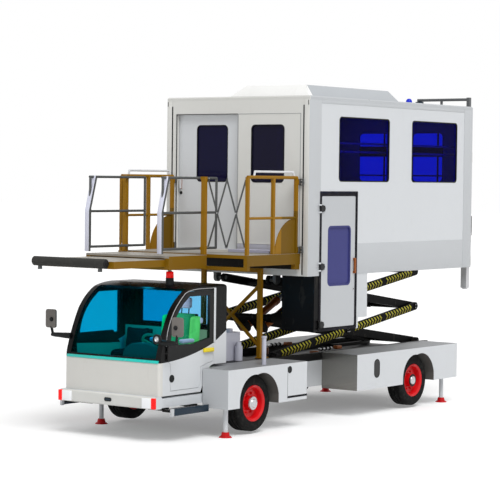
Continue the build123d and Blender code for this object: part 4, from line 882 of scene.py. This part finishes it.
def add_seat(tag, y, top):
    """The driver's seat stands high with a headrest and wings; the one beside it is low and dark. The
    driver's cloths and the pale discs glow a little: painted light.
    """
    tall = tag == "left"
    cloth = seat_cloth if tall else dark_cloth
    rise = top - 0.985
    form = Form(dark_plastic, pale_plastic)
    form.slab(1.835, 2.020, y - 0.175, y + 0.175, 0.657, 0.955, 0.02, 3)
    form.slab(1.630, 2.030, y - 0.215, y + 0.215, 0.945, 0.985, 0.012, 3)
    back = [(1.610, 0.96), (1.655, 0.96), (1.655 - 0.086 * rise, 0.96 + rise),
            (1.610 - 0.078 * rise, 0.96 + rise)]
    form.plate(on_side(y - 0.20, back), (0, 0.40, 0), 0.012)
    for sign in (1, -1):
        form.use(1).lathe([(0.0, 0.0), (0.0, 0.050), (0.012, 0.055), (0.030, 0.050), (0.034, 0.0)],
                          at(1.66, y + sign * 0.215, 1.02), (0, sign, 0), 24)
        if tall:
            form.use(0).rod(at(1.598, y + sign * 0.06, 1.58), at(1.590, y + sign * 0.06, 1.70), 0.008, 10)
    shell = form.piece("seat_shell_" + tag, "chassis")
    pad("seat_cushion_" + tag, cloth, at(1.640, y - 0.215, 0.985), at(2.030, y + 0.215, 1.070), 0.03, 0.022)
    pad("seat_back_" + tag, cloth, at(1.655, y - 0.205, 1.055), at(1.725, y + 0.205, top), 0.03, 0.022, 0.11)
    if tall:
        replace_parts(shell, "cab_seats")
        pad("seat_head", pale_cloth, at(1.580, y - 0.115, 1.670), at(1.640, y + 0.115, 1.815),
            0.025, 0.015, 0.05)
        for wing, y0, y1 in (("outer", 0.575, 0.680), ("inner", 0.100, 0.195)):
            pad("seat_wing_" + wing, wing_cloth, at(1.660, y0, 1.100), at(1.810, y1, 1.580),
                0.035, 0.015, 0.11)


def add_armrests():
    # The armrests' pale plastic glows a little: painted light
    form = Form(pale_plastic)
    form.slab(1.700, 2.010, 0.600, 0.675, 1.235, 1.290, 0.020, 3)
    form.slab(1.600, 1.665, 0.600, 0.698, 1.480, 1.560, 0.025, 3)
    form.slab(1.700, 2.010, 0.100, 0.170, 1.235, 1.290, 0.020, 3)
    form.piece("seat_armrests", "chassis")


for seat in SEATS:
    add_seat(*seat)
add_armrests()


# Cabin: wall strips, skirt, window seals, door frame and fittings

CABIN_LOW, CABIN_TOP = 2.07, 4.50
WINDOWS = ((-2.0295, -0.735, 3.382, 4.280), (-3.950, -2.6555, 3.382, 4.280))
FRONT_PANE = (0.264, 0.826, 3.356, 4.154)
LEAF_PANE = (-0.743, -0.196, 3.356, 4.154)
DOOR_FRAME = (-1.214, -0.268, 1.300, 3.240)
DOOR_HOLE = (-1.180, -0.280, 1.330, 3.225)
HANDLE_X = (-1.154, -1.116)
HINGES = (1.389, 2.195, 3.002)
PROUD = 0.004


def add_wall_strips():
    for side, sign in SIDES:
        skirt_end = DOOR_FRAME[0] - 0.003 if side == "left" else -0.289
        # The strips' paint is greyer than the wall's: painted shade, standing in for the shading on the
        # cabin's chamfered corners and edges
        form = Form(panel_paint)
        strips = ((-0.285, -0.004, CABIN_LOW, CABIN_TOP),
                  (-CABIN_LENGTH + 0.004, -4.167, CABIN_LOW, CABIN_TOP),
                  (-4.163, -0.289, 4.455, CABIN_TOP), (-4.163, skirt_end, CABIN_LOW, 2.502))
        for x0, x1, z0, z1 in strips:
            form.slab(x0, x1, HALF_W, HALF_W + PROUD, z0, z1, 0.0015, 2, sign)
        form.piece("wall_strips_" + side, "cabin")


def end_seal(form, x, pane, depth):
    form.ring(on_end(x, grown(pane, 0.005, 0.065)), on_end(x, grown(pane, -0.008, 0.052)), (depth, 0, 0))


def add_window_seals():
    form = Form(seal_rubber)
    for sign in (1, -1):
        y = sign * (HALF_W - 0.019)
        for pane in WINDOWS:
            form.ring(on_side(y, grown(pane, 0.006, 0.056)), on_side(y, grown(pane, -0.010, 0.040)),
                      (0, sign * 0.022, 0))
    end_seal(form, -0.019, FRONT_PANE, 0.022)
    form.piece("window_seals", "cabin")
    leaf = Form(seal_rubber, brown_paint, dark_plastic)
    end_seal(leaf, -0.072, LEAF_PANE, 0.019)
    leaf.use(1).slab(-0.058, -0.048, -1.046, -1.011, 3.245, 3.405, 0.003, 3)
    leaf.use(2).lathe([(0.0, 0.024), (0.004, 0.024), (0.007, 0.016), (0.007, 0.0)], at(-0.055, -1.028, 3.190),
                      (1, 0, 0), 20)
    leaf.piece("leaf_fittings", "front_leaf")


# Strips on the front wall: material, then x, y and z from and to, and the edge's rounding
CORNER_STRIPS = ((0, 0.0, 0.003, 1.144, 1.164, 2.090, 4.425, 0.001),
                 (1, 0.0, 0.004, 1.166, 1.249, CABIN_LOW, CABIN_TOP, 0.0015),
                 (2, 0.004, 0.008, 1.228, 1.239, 4.426, 4.492, 0.002))
FRONT_STRIPS = ((0, 0.0, 0.006, -1.085, 0.023, 4.305, 4.314, 0.002),
                (0, 0.0, 0.006, -1.080, -1.064, 2.402, 4.305, 0.002),
                # Material 3: the seams round the fixed leaf, whose grey is partly painted shade along its
                # edge
                (3, 0.0, 0.003, 0.023, 1.106, 4.306, 4.312, 0.001),
                (3, 0.0, 0.005, 0.023, 0.033, 2.402, 4.305, 0.002),
                (3, 0.0, 0.004, 1.098, 1.106, 2.402, 4.305, 0.0015),
                (4, 0.0, 0.010, 0.040, 1.050, 2.402, 2.492, 0.002),
                (1, 0.0, 0.014, 0.040, 1.050, 2.492, 2.502, 0.002))


def add_front_wall_trim():
    form = Form(seal_rubber, warm_white, dark_plastic, seam_and_shade_paint, lilac_paint)
    for sign in (1, -1):
        for number, *size in CORNER_STRIPS:
            form.use(number).slab(*size, sign=sign)
    for number, *size in FRONT_STRIPS:
        form.use(number).slab(*size)
    form.piece("front_wall_trim", "cabin")


def add_grab_handle(form, sign, root):
    form.slab(*HANDLE_X, HALF_W + 0.011, HALF_W + 0.039, 2.080, 2.300, 0.010, 3, sign)
    for z in (2.0975, 2.2825):
        form.slab(*HANDLE_X, HALF_W + root, HALF_W + 0.030, z - 0.017, z + 0.017, 0.005, sign=sign)


def add_side_door_fittings():
    form = Form(seal_rubber)
    form.ring(on_side(HALF_W, rounded(*DOOR_FRAME, 0.012, 2)), on_side(HALF_W, rounded(*DOOR_HOLE, 0.004, 2)),
              (0, 0.007, 0))
    form.piece("door_frame_seal", "cabin")
    door = Form(brown_paint, dark_plastic, bright_steel, seal_rubber, slate_seal)
    add_grab_handle(door, 1, -0.002)
    door.use(3).ring(on_side(HALF_W, rounded(-1.176, -0.284, 1.334, 3.221, 0.004, 2)),
                     on_side(HALF_W, rounded(-1.163, -0.322, 1.344, 3.174, 0.020, 2)), (0, 0.003, 0))
    for z in HINGES:
        pin_y = HALF_W + 0.018
        door.use(1).rod(at(-0.274, pin_y, z - 0.039), at(-0.274, pin_y, z + 0.039), 0.016, 20, edge=0.004)
        turns = [math.radians(t) for t in range(-90, 91, 15)]
        leaf = [(-0.320 - 0.070 * math.cos(t), z + 0.048 * math.sin(t)) for t in turns]
        leaf += [(-0.285, z + 0.048), (-0.285, z - 0.048)]
        door.plate(on_side(HALF_W - 0.001, leaf), (0, 0.022, 0), 0.003)
    door.use(2).lathe([(0.0, 0.026), (0.006, 0.026), (0.010, 0.020), (0.010, 0.0)], at(-1.131, HALF_W, 1.861),
                      (0, 1, 0), 28)
    door.use(1).slab(-1.139, -1.123, HALF_W + 0.008, HALF_W + 0.014, 1.853, 1.869, 0.002)
    pane_y = HALF_W - 0.019
    door.use(4).ring(on_side(pane_y, rounded(-1.055, -0.478, 1.918, 2.760, 0.070)),
                     on_side(pane_y, rounded(-1.031, -0.502, 1.942, 2.736, 0.046)), (0, 0.020, 0))
    door.piece("side_door_fittings", "well_door")
    right = Form(brown_paint)
    add_grab_handle(right, -1, 0.003)
    right.piece("right_grab_handle", "cabin")


def add_grab_rails():
    """Grab rails along the windows, seen through the tinted panes."""
    form = Form(dark_plastic, bright_steel)
    heights = (3.80, 3.92)
    rail_y = HALF_W - 0.105
    for sign in (1, -1):
        for z in heights:
            form.use(1).rod(at(-4.15, sign * rail_y, z), at(-0.40, sign * rail_y, z), 0.016, 12)
        for x in (-4.05, -2.35, -0.45):
            for z in heights:
                form.use(0).slab(x - 0.02, x + 0.02, rail_y, HALF_W - 0.043, z - 0.02, z + 0.02, 0.004,
                                 sign=sign)
    form.piece("grab_rails", "cabin")


add_wall_strips()
add_window_seals()
add_front_wall_trim()
add_side_door_fittings()
add_grab_rails()


# Docking deck: clamps, roller, guards and the two lattice gates

RAIL_LINE = 1.09
ROLLER_CUT = 0.085
GUARD = [(2.116, 2.402), (2.128, 2.402), (2.131, 2.948), (1.998, 3.424), (1.984, 3.420), (2.1185, 2.946)]
GATE_LOW, GATE_HIGH = 2.48, 3.40


def add_deck_clamps():
    form = Form(grey_steel, bright_steel)
    for sign in (1, -1):
        for z in (2.400, 3.330):
            form.use(0).slab(0.004, 0.050, RAIL_LINE - 0.034, RAIL_LINE + 0.034, z - 0.006, z + 0.076, 0.006,
                             sign=sign)
            form.slab(0.004, 0.034, RAIL_LINE + 0.020, RAIL_LINE + 0.085, z - 0.012, z + 0.082, 0.006,
                      sign=sign)
            for dz in (0.010, 0.060):
                y = sign * (RAIL_LINE + 0.066)
                form.use(1).rod(at(0.034, y, z + dz), at(0.044, y, z + dz), 0.009, 6)
    form.piece("deck_clamps", "cabin")


def add_roller():
    """The bridge's roller, shorter at its left end, with its feet and end caps."""
    low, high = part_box("bridge_roller")
    x = (low.x + high.x) / 2
    high.y -= ROLLER_CUT
    length, radius = high.y - low.y, (high.z - low.z) / 2
    roller = Form(roller_rubber)
    outline = [(0.0, 0.0), (0.0, radius - 0.008), (0.008, radius), (length - 0.008, radius),
               (length, radius - 0.008), (length, 0.0)]
    roller.lathe(outline, (x, low.y, low.z + radius), (0, 1, 0), 48)
    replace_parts(roller.piece("roller_sleeve", "bridge"), "bridge_roller")
    feet = Form(grey_steel, dark_plastic)
    for y in (low.y + 0.10, high.y - 0.10):
        feet.lathe([(0.0, 0.030), (0.045, 0.026), (0.050, 0.0)], (x, y, low.z - 0.044), (0, 0, 1), 20)
    for y, sign in ((low.y, -1), (high.y, 1)):
        feet.use(1).lathe([(-0.002, 0.056), (0.006, 0.050), (0.010, 0.022), (0.016, 0.020), (0.016, 0.0)],
                          (x, y, (low.z + high.z) / 2), (0, sign, 0), 28)
    feet.piece("roller_fittings", "bridge")


def add_guard(side):
    """A pale bent strip in front of the side rail's end post."""
    low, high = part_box("side_rail_" + side)
    form = Form(guard_paint)
    form.plate(on_side((low.y + high.y) / 2 - 0.034, GUARD), (0, 0.068, 0), 0.003)
    form.piece("rail_guard_" + side, "side_rail_" + side)


def add_lattice(side, cells):
    low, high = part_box("lattice_" + side)
    x = (low.x + high.x) / 2
    mover, post = (low.y, high.y) if side == "left" else (high.y, low.y)
    form = Form(grey_steel, bright_steel)
    step = (post - mover) / cells
    for i in range(cells):
        a, b = mover + step * i, mover + step * (i + 1)
        for dx, z0, z1 in ((-0.006, GATE_LOW, GATE_HIGH), (0.006, GATE_HIGH, GATE_LOW)):
            across = Vector((0, z0 - z1, b - a)).normalized() * 0.012
            start, end = Vector((x + dx, a, z0)), Vector((x + dx, b, z1))
            corners = [start - across, end - across, end + across, start + across]
            form.use(0).plate([c - Vector((0.003, 0, 0)) for c in corners], (0.006, 0, 0))
        for y, z in ((a, GATE_LOW), (a, GATE_HIGH), ((a + b) / 2, (GATE_LOW + GATE_HIGH) / 2),
                     (b, GATE_LOW), (b, GATE_HIGH)):
            form.use(1).rod((x - 0.012, y, z), (x + 0.012, y, z), 0.010, 12)
    gate = form.piece("lattice_gate_" + side, None)
    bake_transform(gate)
    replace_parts(gate, "lattice_" + side)


add_deck_clamps()
add_roller()
for side, sign in SIDES:
    add_guard(side)
add_lattice("left", 2)
add_lattice("right", 1)


# Rear and roof: panes in the wall and its sliding door, the fairing's skin, a lamp and the tail lift's plates

REAR_PANES = (("cabin", -0.797, -0.250, -4.420, -4.375), ("rear_door", 0.240, 0.770, -4.365, -4.325))
REAR_PANE_Z = (3.388, 4.143)
ROOF_LAMP = (-4.350, 0.130, 4.553)
FAIRING_BASE = (-1.175, 0.540, 4.628)
FAIRING_SIZE = (2.310, 1.360, 0.154)
FAIRING_TOP = (2.090, 1.030)
TREADS = (-0.8, -0.4, 0.0, 0.4, 0.8)
RIBS = (-0.965, -0.6, -0.2, 0.2, 0.6, 0.965)


def add_rear_windows():
    """Panes let into the rear, thin enough for the door to slide past, and the rails across them inside. The
    inner panes glow blue: painted light, as if the cabin were lit.
    """
    for body, y0, y1, outside, inside in REAR_PANES:
        pane, rim = [grown((y0, y1, *REAR_PANE_Z), by, 0.060 + by) for by in (0.0, 0.014)]
        form = Form(glowing_pane, leaf_glass, seal_rubber, dark_plastic)
        for number, x, proud in ((0, inside, 0.0015), (1, outside, -0.0015)):
            form.use(number).plate(on_end(x, pane), (proud, 0, 0))
            form.use(2).ring(on_end(x, rim), on_end(x, pane), (proud * 1.7, 0, 0))
        for z0, z1 in ((3.775, 3.940), (3.468, 3.490)):
            form.use(3).slab(inside, inside + 0.003, y0 - 0.012, y1 + 0.012, z0, z1)
        bar = y0 + 0.85 * (y1 - y0)
        form.slab(inside, inside + 0.0028, bar - 0.018, bar + 0.018, *REAR_PANE_Z)
        form.piece("rear_window_" + body, body)


def add_roof_fittings():
    """The fairing's skin over the front half of the roof, and the lamp at the rear."""
    form = Form(fairing_paint)
    base = at(*FAIRING_BASE)
    size = Matrix.Diagonal((*FAIRING_SIZE, 1.0))
    made = bmesh.ops.create_cube(form.bm, size=1.0, matrix=Matrix.Translation(base) @ size)
    top = [v for v in made["verts"] if v.co.z > base.z]
    narrow = [end / foot for end, foot in zip(FAIRING_TOP, FAIRING_SIZE)] + [1.0]
    bmesh.ops.scale(form.bm, verts=top, vec=narrow, space=Matrix.Translation(-base))
    bmesh.ops.translate(form.bm, verts=top, vec=(0.030, 0.060, 0.0))
    form.soften({e for v in made["verts"] for e in v.link_edges}, 0.012, 3)
    form.piece("roof_fairing", "cabin")
    lamp = Form(dark_plastic, blue_lens, navy_paint)
    foot = [(0.0, 0.066), (0.020, 0.064), (0.040, 0.054), (0.062, 0.052), (0.064, 0.0)]
    dome = [(0.062, 0.050), (0.100, 0.049), (0.124, 0.040), (0.138, 0.022), (0.142, 0.0)]
    for number, outline in enumerate((foot, dome)):
        lamp.use(number).lathe(outline, at(*ROOF_LAMP), (0, 0, 1), 32)
    lamp.use(2).slab(-4.390, -4.310, 0.270, 0.380, ROOF_LAMP[2], 4.640, 0.010, 3)
    lamp.piece("rear_roof_lamp", "cabin")


def add_tail_plates():
    """Tread plates let into the tail platform's upper face, and the ribs that stiffen its under face."""
    low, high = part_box("tail_platform")
    foot = low.z + 0.018
    form = Form(tread_steel, bright_steel, mast_steel)
    for y in TREADS:
        form.use(0).block((low.x + 0.0195, y - 0.1195, foot + 0.1205),
                          (high.x - 0.002, y + 0.1195, foot + 1.5995), 0.002)
        for i in range(12):
            z = foot + 0.170 + 0.125 * i
            form.use(1).block((high.x - 0.003, y - 0.100, z - 0.006),
                              (high.x + 0.0015, y + 0.100, z + 0.006), 0.001)
    for y in RIBS:
        form.use(2).block((low.x - 0.022, y - 0.030, foot + 0.030),
                          (low.x + 0.002, y + 0.030, foot + 1.690), 0.005)
    for z in (0.060, 0.850, 1.655):
        form.block((low.x - 0.024, -0.990, foot + z - 0.035), (low.x + 0.002, 0.990, foot + z + 0.035), 0.005)
    form.piece("tail_platform_plates", "tail_platform")


def add_mast_ends():
    low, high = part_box("tail_mast")
    form = Form(mast_steel)
    for sign in (1, -1):
        form.lathe([(0.002, 0.047), (-0.008, 0.046), (-0.018, 0.034), (-0.022, 0.0)],
                   Vector(((low.x + high.x) / 2, sign * (HALF_W - 0.130), low.z)), (0, 0, 1), 28)
    form.piece("tail_mast_ends", "tail_mast")


add_rear_windows()
add_roof_fittings()
add_tail_plates()
add_mast_ends()


# Chassis: boards on the steps, seams, slots and lamps on the boxes, and the lift cylinders' feet

SEAM_Y = (HALF_W - 0.001, HALF_W + 0.0012)
TAIL_LAMP = (0.95, 1.065, 1.18)
FILLER_CAP = [(0.0, 0.0), (0.0, 0.049), (0.003, 0.049), (0.004, 0.044), (0.002, 0.040), (0.002, 0.0)]


def add_step_boards():
    form = Form(navy_paint, panel_paint, bright_steel)
    for sign in (1, -1):
        form.use(0).slab(1.805, 2.528, 0.945, 0.957, 0.356, 0.446, 0.003, sign=sign)
        form.use(1).slab(2.529, 2.575, 0.925, 0.960, 0.350, 0.449, 0.004, sign=sign)
        for x in [1.83 + 0.058 * i for i in range(12)]:
            form.use(2).slab(x, x + 0.030, 0.775, 0.940, 0.424, 0.4275, 0.001, sign=sign)
    form.piece("step_boards", "chassis")


def add_box_details():
    form = Form(seal_rubber, dark_plastic, red_lens, amber_lens, slot_plastic)
    near, middle, far = TAIL_LAMP
    for sign in (1, -1):
        face_y = sign * SEAM_Y[0]
        form.use(0).slab(0.440, 0.445, *SEAM_Y, 0.43, 0.86, 0.0004, sign=sign)
        form.slab(-0.020, 0.438, *SEAM_Y, 0.433, 0.462, 0.0004, sign=sign)
        hole = on_side(face_y, rounded(-1.850, -1.722, 0.556, 0.804, 0.060))
        form.ring(on_side(face_y, rounded(-1.862, -1.710, 0.544, 0.816, 0.072)), hole, (0, sign * 0.003, 0))
        form.use(4).plate(hole, (0, sign * 0.002, 0))
        form.use(1).lathe(FILLER_CAP, at(0.395, face_y, 0.820), (0, sign, 0), 28)
        form.slab(-4.082, -4.060, near - 0.01, far + 0.01, 0.63, 0.77, 0.006, sign=sign)
        # The red half stands on the same hand of both lamps
        red, amber = (middle, far), (near, middle - 0.004)
        if sign < 0:
            red, amber = (near, middle), (middle + 0.004, far)
        form.use(2).slab(-4.090, -4.078, *red, 0.64, 0.76, 0.004, sign=sign)
        form.use(3).slab(-4.090, -4.078, *amber, 0.64, 0.76, 0.004, sign=sign)
    form.piece("box_details", "chassis")


def add_cylinder_feet():
    """The brown foot of each lift cylinder and the valve beside it, between the boxes."""
    form = Form(brown_paint, bright_steel, dark_plastic)
    for y in (0.45, -0.45):
        form.use(0).lathe([(0.700, 0.070), (0.900, 0.070), (0.915, 0.062), (0.915, 0.0)],
                          at(-1.340, y, 0.0), (0, 0, 1), 32)
        form.slab(-2.010, -1.880, y - 0.04, y + 0.04, 0.905, 0.955, 0.012, 3)
        form.use(1).rod(at(-1.470, y, 0.930), at(-1.780, y, 0.930), 0.022, 16, edge=0.004)
        for x in (-1.52, -1.62, -1.72):
            form.use(2).rod(at(x - 0.02, y, 0.930), at(x + 0.02, y, 0.930), 0.032, 6, edge=0.003)
    form.piece("cylinder_feet", "chassis")


add_step_boards()
add_box_details()
add_cylinder_feet()


# Camera at the photograph's place, floor, world and lamps

VIEW_YAW, VIEW_PITCH, VIEW_ROLL = [math.radians(angle) for angle in (36.5205, 2.1394, -0.6792)]
CAMERA_OFFSET = Vector((21.9464, 16.5118, 3.4249))
FOCAL_PIXELS = 1950.61
PICTURE_PIXELS = 500
SKY_LIGHT = 0.58
SUN_STRENGTH, SUN_SPREAD, SUN_WAY = 1.9, math.radians(30), Vector((-0.33, -0.5, -0.8))


def add_camera():
    data = bpy.data.cameras.new("camera")
    data.sensor_width = 36.0
    data.lens = data.sensor_width * FOCAL_PIXELS / PICTURE_PIXELS
    data.clip_end = 400.0
    camera = link("camera", data)
    level = math.cos(VIEW_PITCH)
    ahead = Vector((-math.cos(VIEW_YAW) * level, -math.sin(VIEW_YAW) * level, -math.sin(VIEW_PITCH)))
    turn = ahead.to_track_quat("-Z", "Y").to_matrix() @ Matrix.Rotation(-VIEW_ROLL, 3, "Z")
    camera.matrix_world = Matrix.Translation(Vector((FRONT_X, 0, 0)) + CAMERA_OFFSET) @ turn.to_4x4()
    bpy.context.scene.camera = camera


def white_to_camera(f):
    """1 for rays that show the background, seen straight, in a mirror or through glass."""
    kinds = ("Is Camera Ray", "Is Glossy Ray", "Is Transmission Ray")
    straight, mirrored, passed = [f.node("ShaderNodeLightPath", out=kind) for kind in kinds]
    return f.node("ShaderNodeMath", {"operation": "ADD", "use_clamp": True}, straight + mirrored, passed)


def add_floor():
    mesh = bpy.data.meshes.new("floor")
    bm = bmesh.new()
    bmesh.ops.create_grid(bm, x_segments=1, y_segments=1, size=150.0)
    bm.to_mesh(mesh)
    bm.free()
    floor = link("floor", mesh)
    f = Finish("pale_floor")
    matt = f.node("ShaderNodeBsdfDiffuse", None, (0.86, 0.86, 0.86, 1.0))
    lift = f.node("ShaderNodeEmission", None, (1, 1, 1, 1), white_to_camera(f) * 0.22)
    mesh.materials.append(f.show(f.node("ShaderNodeAddShader", None, matt, lift)))


def add_light():
    f = Finish("studio", bpy.data.worlds.new("studio"))
    strength = white_to_camera(f) * (1 - SKY_LIGHT) + SKY_LIGHT
    bpy.context.scene.world = f.show(f.node("ShaderNodeBackground", None, (1, 1, 1, 1), strength))
    sun = bpy.data.lights.new("key", "SUN")
    sun.energy = SUN_STRENGTH
    sun.angle = SUN_SPREAD
    lamp = link("key", sun)
    lamp.rotation_mode = "QUATERNION"
    lamp.rotation_quaternion = SUN_WAY.to_track_quat("-Z", "Y")


def add_cab_lamp():
    """The small lamp under the cab's roof."""
    lamp = bpy.data.lights.new("cab_lamp", "POINT")
    lamp.energy = 16.0
    lamp.shadow_soft_size = 0.12
    link("cab_lamp", lamp).location = at(2.05, -0.05, 1.78)


add_camera()
add_floor()
add_light()
add_cab_lamp()
bpy.context.scene.view_settings.view_transform = "Standard"
